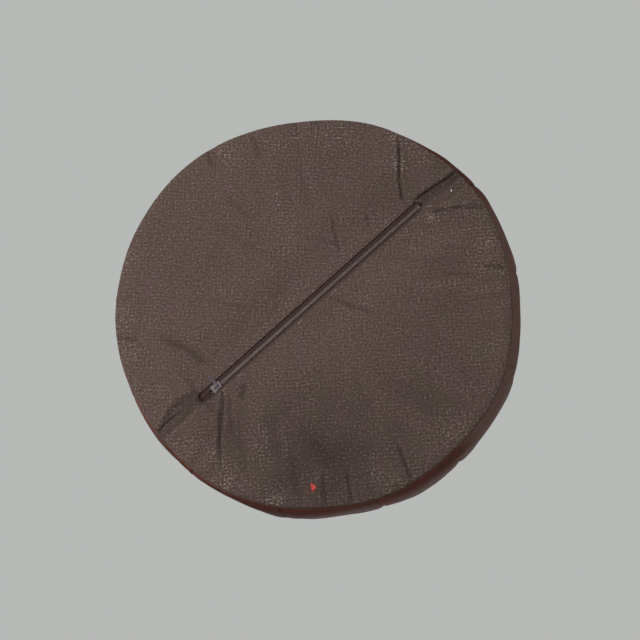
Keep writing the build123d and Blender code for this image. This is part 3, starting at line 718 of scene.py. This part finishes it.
def crown_gore(look, number):
    """Points and marks of one crown gore, from its turned-in outer edge to its point under the button."""
    rows = 130
    s, over_side = between_seams(60, 0.5)
    line = smooth_line(CROWN_LINE, rows)
    line = np.concatenate([np.repeat(line[:1], 3, axis=0), line])
    over_row = np.concatenate([TURN_STEPS[::-1], np.zeros(rows)])[:, None]
    radius, height, draw = (line[:, i][:, None] for i in range(3))
    half_width = radius * math.tan(HALF_PANEL)
    across = s * half_width
    seam_gap = (1 - np.abs(s)) * half_width
    rim_gap = CROWN_SEAM_RADIUS - radius + np.abs(height - CROWN_SEAM_HEIGHT) * 0.5
    seed = 500 + number * 13
    where = across + 300 * number
    narrow = np.clip(half_width / 40, 0.15, 1)
    puff = -draw * look.crown_draw / MM * np.abs(s) ** 2.2
    notch = -look.notch / MM * narrow**0.5 * np.exp(-seam_gap / 3.0) * step_up(rim_gap, 0, 12)
    wrinkle = look.wrinkle / MM
    open_gore = step_up(seam_gap, 0, 9) * step_up(rim_gap, 3, 24) * narrow
    soft = wrinkle * (0.7 * ripple(where, radius, 58, seed) + 0.4 * ripple(where, radius, 24, seed + 1))
    creases = drag_creases(seed, 7, 60, 282, lambda level: level * math.tan(HALF_PANEL))
    crease, dark = creased(*np.broadcast_arrays(across, radius), creases, taper=True)
    crease = -crease * wrinkle / 1.5 * step_up(seam_gap, 0, 4)
    pucker = 0.7 * np.exp(-seam_gap / 9) * step_up(seam_gap, 0, 3) * narrow
    pucker = pucker * ripple(where * 0.25, radius, 8, seed + 4)
    gather = 0.8 * np.exp(-rim_gap / 13) * step_up(rim_gap, 1, 5) * ripple(where, radius * 0.2, 10, seed + 5)
    # pleats that run in to the button, across the gore's narrow end
    pull = np.exp(-((radius - 16) / 38)) * np.cos(s * math.pi * 1.5) * 0.9
    relief = soft * open_gore + crease * narrow + pucker + gather
    angle = math.radians(SEAM_TURN) + (2 * number + 1) * HALF_PANEL
    angle = angle + s * (HALF_PANEL - HALF_GAP / np.maximum(radius, 20))
    turn_in = look.turn_in / MM
    rise = turn_in * over_row
    out = radius + round_table(angle, WALL_SHIFT) * HEAD_SHARE * step_up(radius, 190, 288) - HEAD_IN * rise
    top = height + puff + notch + relief - pull * step_up(radius, 16, 30)
    top = top - HEAD_DOWN * rise - turn_in * over_side * np.clip(narrow * 1.5, 0, 1)
    # painted shade along the seams and the rim seam, in the creases, round the button and on the turned-in
    # edges
    painted_shade = 0.9 * np.exp(-seam_gap / 2.4) + 0.8 * np.exp(-rim_gap / 3) + 0.4 * dark * narrow
    painted_shade = painted_shade + 0.5 * bell(np.maximum(radius - 27, 0), 12) + np.maximum(over_side, over_row)
    wear_and_highlight = 0.38 + 0.3 * relief / wrinkle + 0.45 * bell(seam_gap - 7, 5) * narrow
    wear_and_highlight = wear_and_highlight + 0.3 * step_up(radius, 230, 100) * (0.6 + 0.4 * ripple(where, radius, 40, seed + 6))
    return polar(angle, out, top), {"painted_shade": painted_shade, "wear_and_highlight": wear_and_highlight}


class POUF_OT_side_panels(bpy.types.Operator):
    """Stuffed leather side panels with drawn-in seams, puckers and rubbed ridges, painted shade in seams and
    creases and a painted highlight along the foot
    """

    bl_idname = "pouf.side_panels"
    bl_label = "Side panels"

    def execute(self, context):
        look = context.scene.pouf_leather
        finish = finish_named("Full-grain waxed leather", leather_finish, look)
        for number, node in enumerate(SIDE_PANELS):
            points, marks = side_panel(look, number)
            name, thickness = f"leather_{node}", look.thickness
            piece = soft_piece(name, points, finish, node, "leather", thickness, marks=marks)
        return {"FINISHED"}


class POUF_OT_crown_gores(bpy.types.Operator):
    """Leather gores of the seat, drawn down along their seams and in to the button"""

    bl_idname = "pouf.crown_gores"
    bl_label = "Crown gores"

    def execute(self, context):
        look = context.scene.pouf_leather
        finish = finish_named("Full-grain waxed leather", leather_finish, look)
        for number, node in enumerate(CROWN_GORES):
            points, marks = crown_gore(look, number)
            name, thickness = f"leather_{node}", look.thickness
            piece = soft_piece(name, points, finish, node, "leather", thickness, marks=marks)
        return {"FINISHED"}


class POUF_OT_crown_button(bpy.types.Operator):
    """Leather button cover drawn over its wooden mould, with its shank and backing disc"""

    bl_idname = "pouf.crown_button"
    bl_label = "Crown button"

    def execute(self, context):
        look = context.scene.pouf_leather
        finish = finish_named("Full-grain waxed leather", leather_finish, look)
        radius = (BUTTON_HIGH.x - BUTTON_LOW.x) / 2 / MM
        low, high = BUTTON_LOW.z / MM, BUTTON_HIGH.z / MM
        waist = (low + high) / 2
        rows = 54
        dome = [
            (radius * (1 - (1 - t) ** 2), waist + (high - waist) * (1 - t * t))
            for t in (0, 0.2, 0.4, 0.6, 0.8, 1)
        ]
        dome += [(radius * part, low + up) for part, up in ((0.985, 0.7), (0.94, 0), (0.86, 0), (0.79, 0.1))]
        line = smooth_line(dome, rows)
        line[0, 0] = 0.02
        out, height = line[:, 0][:, None], line[:, 1][:, None]
        row = np.arange(rows)[:, None]
        angle = np.linspace(0, 2 * math.pi, 144, endpoint=False)[None, :]
        x, y = out * np.cos(angle), out * np.sin(angle)
        rim = step_up(out, radius * 0.55, radius)
        pleat = np.abs(np.sin(angle * 9.5 + 1.2 * ripple(angle * 8, 0 * angle, 3, 7)))
        under = step_up(row, 30, 50)
        top = height + 0.16 * ripple(x, y, 7, 9) * (1 - rim) + under * 0.1
        wide = out - rim * (1 - pleat) * 0.35 * step_up(row, 20, 36)
        # painted shade on the button's underside and in the pleats at its rim
        marks = {"painted_shade": under + rim * (1 - pleat) * 0.5, "wear_and_highlight": 0.75 - 0.5 * rim + 0.2 * ripple(x, y, 9, 5)}
        points = polar(angle, wide, top)
        cover = soft_piece(
            "leather_button_cover", points, finish, "crown_button_cover", "leather", 1.1 * MM, inward=False,
            wrap=True, marks=marks,
        )
        dress("crown_button_mould", finish_named("Turned beech", wood_finish))
        steel = finish_named("Zinc-plated steel wire", metal_finish, linear("9A9C9C"), 0.35, 1.0, 0.0006)
        dress("crown_button_shank", steel)
        board = finish_named("Pressed leatherboard", fibre_finish, "4A3222", "7A5A3E", 0.0012, 0.8)
        dress("crown_backing_disc", board)
        return {"FINISHED"}


# Base


def rim_line():
    """Flat radius, radius and height along the base cloth, from the middle out and up into its seam."""
    turn = np.linspace(0, math.pi / 2, 40)
    radius = RIM_LEVEL + (RIM_EDGE - RIM_LEVEL) * np.sin(turn)
    height = (RIM_EDGE_HEIGHT - BASE_LEVEL) * (1 - np.cos(turn))
    back = turn[2::2]
    radius = np.concatenate([[0], radius, RIM_SEAM + (RIM_EDGE - RIM_SEAM) * np.cos(back), [RIM_SEAM - 0.2]])
    rolled = height[-1] + (BASE_SEAM_HEIGHT - RIM_EDGE_HEIGHT) * np.sin(back)
    height = np.concatenate([[0], height, rolled, [rolled[-1] + RIM_TURN_IN]])
    flat = np.concatenate([[0], np.cumsum(np.hypot(np.diff(radius), np.diff(height)))])
    return flat, radius, height


def hem_edge(x, hem):
    """How far the cloth's edge lies from the zip's centre line along the zip."""
    opened = step_up(x, SLOT_START - 4, SLOT_START + 5) * (1 - step_up(x, SLOT_END - 6, SLOT_END + 3))
    return 0.15 + (hem - 0.15) * opened


def creased(x, y, creases, taper=False):
    """Relief of creases, valleys above 0 with a low shoulder on both sides, and how much painted shade they
    get.
    """
    relief, dark = np.zeros((2, *np.shape(x)))
    for line, depth, width in creases:
        gap, along = distance_to(x, y, line)
        fade = (1 - along) ** 1.3 if taper else np.minimum(1, 5 * np.minimum(along, 1 - along) + 0.1)
        wide = width * (1 + 0.25 * ripple(x, y, 12, 11))
        relief += depth * fade * (bell(gap, wide) - 0.34 * bell(gap - 2.1 * wide, 1.1 * wide))
        dark = np.maximum(dark, fade * bell(gap, 0.7 * wide) * min(1, depth / 2.6))
    return relief, dark


def turned(x, y, way):
    """Distance along a heading and across it."""
    return x * math.cos(way) + y * math.sin(way), y * math.cos(way) - x * math.sin(way)


def base_surface(x, y, lump):
    """Height of the base cloth's outer face, its painted shade, its scuffs and painted highlights, and how
    much darker it is drawn.
    """
    away = np.abs(y - ZIP_Y)
    radius = np.hypot(x, y)
    angle = np.arctan2(y, x)
    slider_end = x < 0
    along_zip = step_up(x, *BAND_START[::-1]) * (1 - step_up(x, *BAND_END))
    groove = 1 - step_up(away, GROOVE_FLAT, GROOVE_HALF)
    upper = sum(np.interp(x + ease, *np.transpose(BAND_UPPER)) for ease in (-7, 0, 7)) / 3
    upper = upper + 0.5 * ripple(x, 0 * x, 17, 41) + np.where(slider_end, 2.6, 0)
    lower = np.interp(x, *np.transpose(BAND_LOWER)) + 1.5 * ripple(x, 0 * x, 21, 42)
    ease = np.where(slider_end, 3.2, 1.0)
    band = step_up(y, upper - 2.2 * ease, upper + 1.2 * ease) * (1 - step_up(y, lower - 1, lower + 7))
    # cloth swells a little where it folds over the band's upper side
    lip = bell(y - upper + 5.5, 4) * (1 - along_zip) * step_up(np.abs(x), 205, 225)
    trough = band * step_up(-x, 183, 204) * (1 - 0.7 * step_up(y, -16, -12) * step_up(-x, 214, 222))
    band = band * np.where(slider_end, 0.7, 1.0) * BAND_DEPTH / GROOVE_DEPTH
    sunk = groove * along_zip + band * (1 - along_zip)
    # the tab sweeps over the level part of the groove, so nothing rises into it there
    free = 1 - (1 - step_up(away, GROOVE_FLAT, GROOVE_FLAT + 9)) * step_up(x, -216, -204)
    inner = 1 - step_up(radius, 262, 284)
    height = BASE_LEVEL + (GROOVE_DEPTH - BASE_LEVEL) * sunk - np.where(slider_end, 0.5, 1.0) * lip
    soft = 0.9 * ripple(x, y, 74, 3) + 0.5 * ripple(x + 0.3 * y, y, 33, 4)
    soft = soft + 0.24 * ripple(x, y - 0.4 * x, 15, 5)
    slack = np.zeros(np.shape(x))
    for number, (rx, ry, size, way, rise) in enumerate(BASE_RIPPLED):
        run, across = turned(x, y, math.radians(way))
        near = bell(np.hypot(x - rx, y - ry), size)
        slack = slack + rise * near * ripple(run * 0.14, across, 13, 60 + number)
    soft = (lump * soft + slack) * free * (0.35 + 0.65 * inner) * (1 - 0.6 * sunk)
    # short gathers where the cloth is eased into the rim seam
    round_rim = angle * GATHER_RADIUS
    gather = ripple(round_rim, radius * 0.12, 13, 6) + 0.6 * ripple(round_rim, radius * 0.1, 6.5, 7)
    gather = gather * np.exp(-np.abs(GATHER_RADIUS - radius) / 15) * step_up(radius, 215, 262)
    seam_phase = np.mod(angle - math.radians(SEAM_TURN) + HALF_PANEL, 2 * HALF_PANEL) - HALF_PANEL
    tuck = 1.6 * bell(seam_phase * GATHER_RADIUS, 6) * step_up(radius, 240, 286)
    # the cloth puffs between the zip's stitches
    puffs = 0.45 * ripple(x, away * 0.3, 11, 8) * bell(away - 30, 9) * along_zip
    # the creases get painted shade as well as relief
    crease, painted_shade = creased(x, y, BASE_CREASES)
    total = height + soft + gather + tuck + puffs * free + np.where(crease > 0, crease, crease * free)
    total = np.maximum(total, 0.05 + 0.25 * np.clip(total, 0, 1))
    scuff_and_highlight = np.maximum(
        0.5 * step_up(radius, 215, 275) * step_up(ripple(x, y, 30, 21), -0.1, 0.7),
        0.9 * bell(away - 10.5, 2.0) * step_up(ripple(x, y, 9, 22), 0.35, 0.8),
    )
    for sx, sy, size in BASE_SCUFFS:
        scuff_and_highlight = np.maximum(scuff_and_highlight, bell(np.hypot(x - sx, y - sy), size))
    # painted shade in the valleys of slack wrinkles and painted highlight on their ridges, standing in for
    # relief that the lamps hardly show
    painted_shade = np.maximum(painted_shade, 1.1 * np.clip(slack, 0, 0.4))
    scuff_and_highlight = np.maximum(scuff_and_highlight, 1.6 * np.clip(-slack - 0.04, 0, 0.4))
    # painted shade lines along the near hem and the band's upper side
    hem_shade = 0.8 * bell(y - ZIP_Y - NEAR_HEM - 0.9, 1.7) * step_up(x, SLOT_START, SLOT_START + 12)
    hem_shade = hem_shade * (1 - step_up(x, SLOT_END - 8, SLOT_END + 2))
    shade = np.where(slider_end, 0.12, 0.42) * bell(y - upper, 1.8) * (1 - along_zip)
    darkening = np.zeros(np.shape(x))
    for sx, sy, size, depth in BASE_DARKENED:
        darkening = np.maximum(darkening, depth * bell(np.hypot(x - sx, y - sy), size))
    # the recessed bands are drawn darker too
    darkening = darkening * (0.9 + 0.25 * ripple(x, y, 26, 23)) + 0.5 * trough + 0.5 * band * step_up(x, 205, 228)
    return total, np.maximum(painted_shade, np.maximum(shade, hem_shade)), scuff_and_highlight, darkening


def on_base(x, y, lump, sunk):
    """Points on the base cloth's outer face, sunk into it a little."""
    x, y = np.array(x, float), np.array(y, float)
    return np.stack([x, y, base_surface(x, y, lump)[0] - sunk], -1)


def base_half(look, side, hem):
    """Points of one half of the base, laid from its flat cut: folded hem, groove, lumps, turned-up rim."""
    columns, rows = 430, 150
    flat, radius, height = rim_line()
    reach = flat[-1]
    start = math.asin(side * ZIP_Y / reach)
    x = reach * np.cos(np.linspace(start + 0.004, math.pi - start - 0.004, columns))[None, :]
    t = np.linspace(0, 1, rows)[:, None]
    t = 0.45 * t + 0.55 * (1 - np.cos(math.pi * t)) / 2
    edge = side * ZIP_Y + hem_edge(x, hem)
    outer = np.sqrt(np.maximum(reach**2 - x**2, 0))
    y = side * (edge + t * np.maximum(outer - edge, 0.02))
    x = np.broadcast_to(x, y.shape)
    rho = np.hypot(x, y)
    angle = np.arctan2(y, x)
    up, painted_shade, scuff_and_highlight, darkening = base_surface(x, y, look.lump / MM)
    calm = 1 - step_up(rho, 286, flat[-1] - RIM_TURN_IN)
    top = np.interp(rho, flat, height) + up * calm + BASE_LEVEL * (1 - calm)
    out = np.interp(rho, flat, radius) + rim_shift(angle) * step_up(rho, 235, 290)
    points = polar(angle, out, top)
    # the hem turns up and back over the tape: how far in and how high each row of it lies
    hems = ((8.0, 1.06), (5.0, 1.06), (2.0, 1.0), (0.35, 0.98), (-0.25, 0.72), (-0.42, 0.36))
    points = np.concatenate([[points[0] + (0, side * inward, rise) for inward, rise in hems], points])
    marks = {}
    # the hem's rows get painted shade
    for mark, first, rest in (
        ("painted_shade", 0.6 + 0 * painted_shade[:1], painted_shade), ("scuff_and_highlight", 0 * scuff_and_highlight[:1], scuff_and_highlight), ("darkening", darkening[:1], darkening)
    ):
        marks[mark] = np.concatenate([np.repeat(first, len(hems), axis=0), rest])
    return points, marks


class POUF_OT_base_cloth(bpy.types.Operator):
    """Both halves of the woven base, creased and gathered, with the groove for the zip"""

    bl_idname = "pouf.base_cloth"
    bl_label = "Base cloth"

    def execute(self, context):
        look = context.scene.pouf_base
        for label, side, hem in (("large", 1, NEAR_HEM), ("small", -1, FAR_HEM)):
            points, marks = base_half(look, side, hem)
            if side < 0:
                points = points[:, ::-1]
                marks = {name: values[:, ::-1] for name, values in marks.items()}
            turn = look.weave_turn - side * math.radians(3)
            finish = base_cloth_finish(f"Jute furnishing cloth {label} half", look, -turn)
            piece = soft_piece(
                f"cloth_base_{label}", points, finish, f"base_panel_{label}", "base_fabric", look.thickness,
                marks=marks,
            )
        return {"FINISHED"}


class POUF_OT_zip(bpy.types.Operator):
    """Both zip tapes, and the finish of the teeth, slider, tab and stops"""

    bl_idname = "pouf.zip"
    bl_label = "Zip"

    def execute(self, context):
        look = context.scene.pouf_base
        # the larger half's tape gets the darker tone: painted shade under its hem
        for label, tape in (("large", look.shaded_tape), ("small", look.tape)):
            low, high = TAPE_BOXES[label]
            finish = finish_named(f"Woven polyester tape {label}", tape_finish, tape)
            x = np.linspace(low.x / MM, high.x / MM, 620)[None, :]
            y = np.linspace(low.y / MM, high.y / MM, 14)[:, None]
            away = np.abs(y - ZIP_Y)
            # past the stops the two tapes are drawn together until they meet
            start, end = TAPE_MEETS
            met = 1 - step_up(x, start - 2.5, start) + step_up(x, end, end + 2.5)
            nearest = away.min()
            inner = 1 - (away - nearest) / (away.max() - nearest)
            y = y - np.sign(y - ZIP_Y) * met * (nearest - HALF_GAP) * inner
            wave = 0.05 * ripple(x, y, 9, 31) * step_up(away, 6, 12)
            points = np.stack(np.broadcast_arrays(x, y, low.z / MM + 0.06 + wave), -1)[::-1]
            piece = soft_piece(
                f"zip_tape_cloth_{label}", points, finish, f"zip_tape_{label}", "zip_tape",
                TAPE_THICKNESS * MM,
            )
        # the chain's crest shows metal, partly worn and partly a painted highlight; its dark flanks are
        # partly painted shade
        crest = (ZIP_Y + 0.7, 1.5)
        teeth = finish_named("Enamelled zinc teeth", enamel_finish, look.teeth, look.enamel, 0.55, crest)
        for node in ("zip_teeth_large", "zip_teeth_small", "zip_bottom_stop", "zip_top_stops"):
            dress(node, teeth)
        cast = finish_named("Enamelled zinc slider", enamel_finish, look.slider, look.enamel, 0.32)
        dress("zip_slider", cast)
        plain = finish_named("Stamped zinc tab", metal_finish, look.slider, 0.5, 0.6, 0.0004)
        dress("zip_pull_tab", plain)
        return {"FINISHED"}


class POUF_OT_seams(bpy.types.Operator):
    """Thread in every seam: upright, crown and rim seams, the zip's hems and its bar tack"""

    bl_idname = "pouf.seams"
    bl_label = "Seam thread"

    def execute(self, context):
        leather = context.scene.pouf_leather
        thread = finish_named("Waxed linen thread", fibre_finish, "2A1A16", "4A3028", 0.0006, 0.5)
        pitch, long, sunk = 5.0, 3.8, 2.4
        for label, line, draws in (
            ("side", SIDE_LINE, leather.side_draw / MM), ("crown", CROWN_LINE, leather.crown_draw / MM)
        ):
            run = smooth_line(line, 600)
            travel = np.concatenate([[0], np.cumsum(np.hypot(*np.diff(run[:, :2], axis=0).T))])
            marks = np.arange(pitch, travel[-1] - pitch, pitch)
            radius, height, draw = (np.interp(marks, travel, run[:, i]) for i in range(3))
            away, rise = (
                np.interp(marks + 1, travel, run[:, i]) - now for i, now in enumerate((radius, height))
            )
            places, headings = [], []
            for seam in range(PANEL_COUNT):
                angle = math.radians(SEAM_TURN) + 2 * seam * HALF_PANEL
                if label == "side":
                    out = radius - draw * draws - sunk + wall_shift(angle, height)
                    places.extend(polar(angle, out, height))
                else:
                    places.extend(polar(angle, radius, height - draw * draws - sunk))
                headings.extend(polar(angle, away, rise))
            stitches(f"thread_{label}_seams", places, headings, thread, 0.4, long)
        places, headings = [], []
        for radius, height in (
            (RIM_SEAM, BASE_SEAM_HEIGHT + 0.4), (CROWN_SEAM_RADIUS - 1.6, CROWN_SEAM_HEIGHT - 0.9)
        ):
            angle = np.linspace(0, 2 * math.pi, int(2 * math.pi * radius / pitch), endpoint=False)
            places.extend(polar(angle, radius + wall_shift(angle, height), height))
            headings.extend(polar(angle + math.pi / 2, 1, 0))
        stitches("thread_ring_seams", places, headings, thread, 0.3, long)
        places = [
            (x, ZIP_Y + side * (hem + 2.6), GROOVE_DEPTH + 0.08)
            for side, hem in ((1, NEAR_HEM), (-1, FAR_HEM))
            for x in np.arange(SLOT_START + 6, SLOT_END - 6, 3.6)
        ]
        stitches("thread_zip_hems", places, [(1, 0, 0)] * len(places), thread, 0.28, 2.6)
        step = np.arange(20)
        lump = context.scene.pouf_base.lump / MM
        places = on_base(SLOT_START - 0.5 + 0.5 * (step % 3 - 1), ZIP_Y - 6.5 + 0.45 * step, lump, 0.7)
        dark = finish_named("Dark tack thread", fibre_finish, "1A1110", "2C1F1C", 0.0006, 0.8)
        stitches("thread_bar_tack", places, [(1, 0.18, 0)] * len(places), dark, 0.6, 2.4)
        return {"FINISHED"}


class POUF_OT_marks(bpy.types.Operator):
    """Small things that cling to the base: a torn corner of red tag and white lint"""

    bl_idname = "pouf.marks"
    bl_label = "Tag corner and lint"

    def execute(self, context):
        lump = context.scene.pouf_base.lump / MM
        red = finish_named("Red polyester tag", fibre_finish, "A3231C", "E2483A", 0.0007, 0.6)
        white = finish_named("Cotton lint", fibre_finish, "D8D5CE", "F4F2EE", 0.0004, 0.9)
        across = np.linspace(-1, 1, 9)[None, :]
        along = np.linspace(0, 1, 9)[:, None]
        x = -172 + 5.2 * across * (1 - 0.82 * along) + 1.2 * along
        torn = on_base(x, 198 - 9.5 * along + 0 * across, lump, 0.35)
        torn[..., 2] -= 0.9 * along**2 + 0.5 * np.abs(across) * (1 - along)
        torn[..., 2] = np.maximum(torn[..., 2], 0.5)
        tag = grid_piece("torn_tag_corner", torn, red)
        thicken(tag, 0.25 * MM)
        crumbs = on_base((-179.8, -183.7, -178.2), (193.7, 195.9, 197.5), lump, 0.15)
        stitches("torn_tag_threads", crumbs, [(0.8, 0.5, 0.1)] * 3, red, 0.35, 1.6)
        for number, (x, y, size) in enumerate(LINT, 1):
            place, heading = on_base(x, y, lump, 0.1), (math.cos(x), math.sin(x), 0.0)
            stitches(f"lint_{number}", [place], [heading], white, 0.4 * size, 1.7 * size)
        return {"FINISHED"}


# Stuffing


def shell_points(line, rows, columns, noise, seed):
    """Angle, radius and height of a shell round the upright axis, and how lumpy it is at each place."""
    run = smooth_line(line, rows)
    angle = np.linspace(0, 2 * math.pi, columns, endpoint=False)[None, :]
    radius, height = run[:, 0][:, None], run[:, 1][:, None]
    bump = noise * (
        0.6 * ripple(radius * np.cos(angle), radius * np.sin(angle) + height, 48, seed)
        + 0.4 * ripple(angle * 280 + height, height + radius, 21, seed + 1)
    )
    return angle, radius, height, np.abs(bump)


class POUF_OT_stuffing(bpy.types.Operator):
    """Textile stuffing in its calico liner: base disc, band and top disc"""

    bl_idname = "pouf.stuffing"
    bl_label = "Liner and stuffing"

    def execute(self, context):
        calico = finish_named("Unbleached calico", calico_finish)
        wadding = finish_named("Shredded textile wadding", fibre_finish, "8C8373", "C9C1AE", 0.004, 0.95)
        # radius and height along each piece, how its lumps lift it, and its flat size in metres
        for part, lift, flat, line in (
            (
                "base", 1, (0.585, 0.585),
                ((0.5, 14.5), (120, 14.5), (230, 14.5), (268, 16), (279, 22), (281, 30)),
            ),
            (
                "band", 0, (0.236, 1.79),
                ((281, 30), (283.5, 59), (284, 121), (282.5, 189), (279, 240), (276, 264)),
            ),
            (
                "top",
                -1,
                (0.64, 0.64),
                (
                    (276, 264), (270, 288), (257, 303), (232, 316), (190, 323.5), (120, 328), (60, 327.5),
                    (0.5, 326.5),
                ),
            ),
        ):
            angle, radius, height, bump = shell_points(line, 60, 220, 1.2, 900)
            points = polar(angle, radius - bump, height + lift * bump)
            piece = soft_piece(
                f"calico_liner_{part}", points, calico, f"liner_{part}", "calico", CALICO_THICKNESS * MM,
                wrap=True,
            )
        line = (
            (0.5, 18), (90, 18), (180, 18), (225, 18), (248, 18.6), (265, 22), (275, 34), (279, 60),
            (280.5, 121),
        )
        line += ((279, 189), (274, 245), (262, 288), (235, 309), (190, 318), (110, 324), (0.5, 324))
        angle, radius, height, bump = shell_points(line, 150, 200, 3.0, 950)
        stuffing = grid_piece(
            "stuffing", polar(angle, np.maximum(radius - bump, 0.3), height), wadding, wrap=True
        )
        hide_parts("filling")
        return {"FINISHED"}


# Stage


def floor_finish(name, tone, near, far):
    """Plain matt sheet that shows from one face only and fades into the background far out."""
    finish, tree, place = new_finish(name)
    away = add(tree, "VectorMath", {0: place}, operation="LENGTH").outputs["Value"]
    fade = add(tree, "MapRange", {"Value": away, "From Min": near, "From Max": far})
    back = add(tree, "NewGeometry").outputs["Backfacing"]
    hide = add(tree, "Math", {0: fade, 1: back}, operation="MAXIMUM")
    matt = add(tree, "BsdfDiffuse", {"Color": full(tone)})
    mix = add(tree, "MixShader", {0: hide, 1: matt, 2: add(tree, "BsdfTransparent")})
    add(tree, "OutputMaterial", {"Surface": mix})
    return finish


def lay_floor(finish, sides=96):
    """Level round sheet round the upright axis, seen by the camera alone."""
    turns = np.linspace(0, 2 * math.pi, sides, endpoint=False)
    mesh = bpy.data.meshes.new("floor")
    mesh.from_pydata(polar(turns, FLOOR_RADIUS, 0).tolist(), [], [tuple(range(sides))])
    mesh.materials.append(finish)
    sheet = bpy.data.objects.new("floor", mesh)
    bpy.context.scene.collection.objects.link(sheet)
    sheet.visible_shadow = sheet.visible_diffuse = sheet.visible_glossy = False


def lamp(name, place, aim, power, size):
    """Round lamp, size across, at one place and turned to another."""
    light = bpy.data.lights.new(name, "AREA")
    light.shape = "DISK"
    light.size = size
    light.energy = power
    made = bpy.data.objects.new(name, light)
    made.location = place
    made.rotation_euler = (Vector(aim) - Vector(place)).to_track_quat("-Z", "Y").to_euler()
    bpy.context.scene.collection.objects.link(made)


class POUF_OT_stage(bpy.types.Operator):
    """Pale floor, even pale light, two lamps and the camera that looks up at the base"""

    bl_idname = "pouf.stage"
    bl_label = "Stage"

    def execute(self, context):
        look = context.scene.pouf_stage
        scene = context.scene
        lay_floor(floor_finish("Matt floor", look.floor, *FLOOR_FADES))
        world = bpy.data.worlds.new("Even pale light")
        scene.world = world
        world.use_nodes = True
        tree = world.node_tree
        tree.nodes.clear()
        path = add(tree, "LightPath").outputs
        seen = path["Is Camera Ray"]
        for ray in ("Is Glossy Ray", "Is Transmission Ray"):
            seen = add(tree, "Math", {0: seen, 1: path[ray]}, operation="MAXIMUM")
        lit = add(tree, "Background", {"Color": (1, 1, 1, 1), "Strength": look.ambient})
        pale = add(tree, "Background", {"Color": full(look.floor), "Strength": 1.0})
        mix = add(tree, "MixShader", {0: seen, 1: lit, 2: pale})
        add(tree, "OutputWorld", {"Surface": mix})
        lamp("lower_lamp", (-0.5, -1.1, -1.9), (0, 0.05, 0), look.lower_lamp, 1.2)
        lamp("upper_lamp", (-1.0, -1.5, 1.9), (0, 0, 0.15), look.upper_lamp, 1.4)
        view = bpy.data.cameras.new("camera")
        view.lens = look.lens
        view.sensor_width = 36
        camera = bpy.data.objects.new("camera", view)
        ahead = Vector(CAMERA_AHEAD).normalized()
        right = ahead.cross(Vector(CAMERA_UP)).normalized()
        turn = Matrix((right, right.cross(ahead), -ahead)).transposed().to_4x4()
        camera.matrix_world = Matrix.Translation(CAMERA_PLACE) @ turn
        scene.collection.objects.link(camera)
        scene.camera = camera
        scene.view_settings.view_transform = "Standard"
        return {"FINISHED"}


class POUF_PT_sidebar(bpy.types.Panel):
    """Buttons for each group of pieces of the pouf"""

    bl_idname = "POUF_PT_sidebar"
    bl_label = "Leather pouf"
    bl_space_type = "VIEW_3D"
    bl_region_type = "UI"
    bl_category = "Pouf"

    def draw(self, context):
        for operator in OPERATORS:
            self.layout.operator(operator.bl_idname)


OPERATORS = (
    POUF_OT_stuffing, POUF_OT_side_panels, POUF_OT_crown_gores, POUF_OT_crown_button, POUF_OT_base_cloth,
    POUF_OT_zip, POUF_OT_seams, POUF_OT_marks, POUF_OT_stage,
)
GROUPS = (("pouf_leather", PoufLeather), ("pouf_base", PoufBase), ("pouf_stage", PoufStage))


def register():
    for name, group in GROUPS:
        bpy.utils.register_class(group)
        setattr(bpy.types.Scene, name, bpy.props.PointerProperty(type=group))
    for operator in OPERATORS:
        bpy.utils.register_class(operator)
    bpy.utils.register_class(POUF_PT_sidebar)


def unregister():
    bpy.utils.unregister_class(POUF_PT_sidebar)
    for operator in reversed(OPERATORS):
        bpy.utils.unregister_class(operator)
    for name, group in reversed(GROUPS):
        delattr(bpy.types.Scene, name)
        bpy.utils.unregister_class(group)


def main():
    register()
    bpy.ops.pouf.stuffing()
    bpy.ops.pouf.side_panels()
    bpy.ops.pouf.crown_gores()
    bpy.ops.pouf.crown_button()
    bpy.ops.pouf.base_cloth()
    bpy.ops.pouf.zip()
    bpy.ops.pouf.seams()
    bpy.ops.pouf.marks()
    bpy.ops.pouf.stage()


if __name__ == "__main__":
    main()
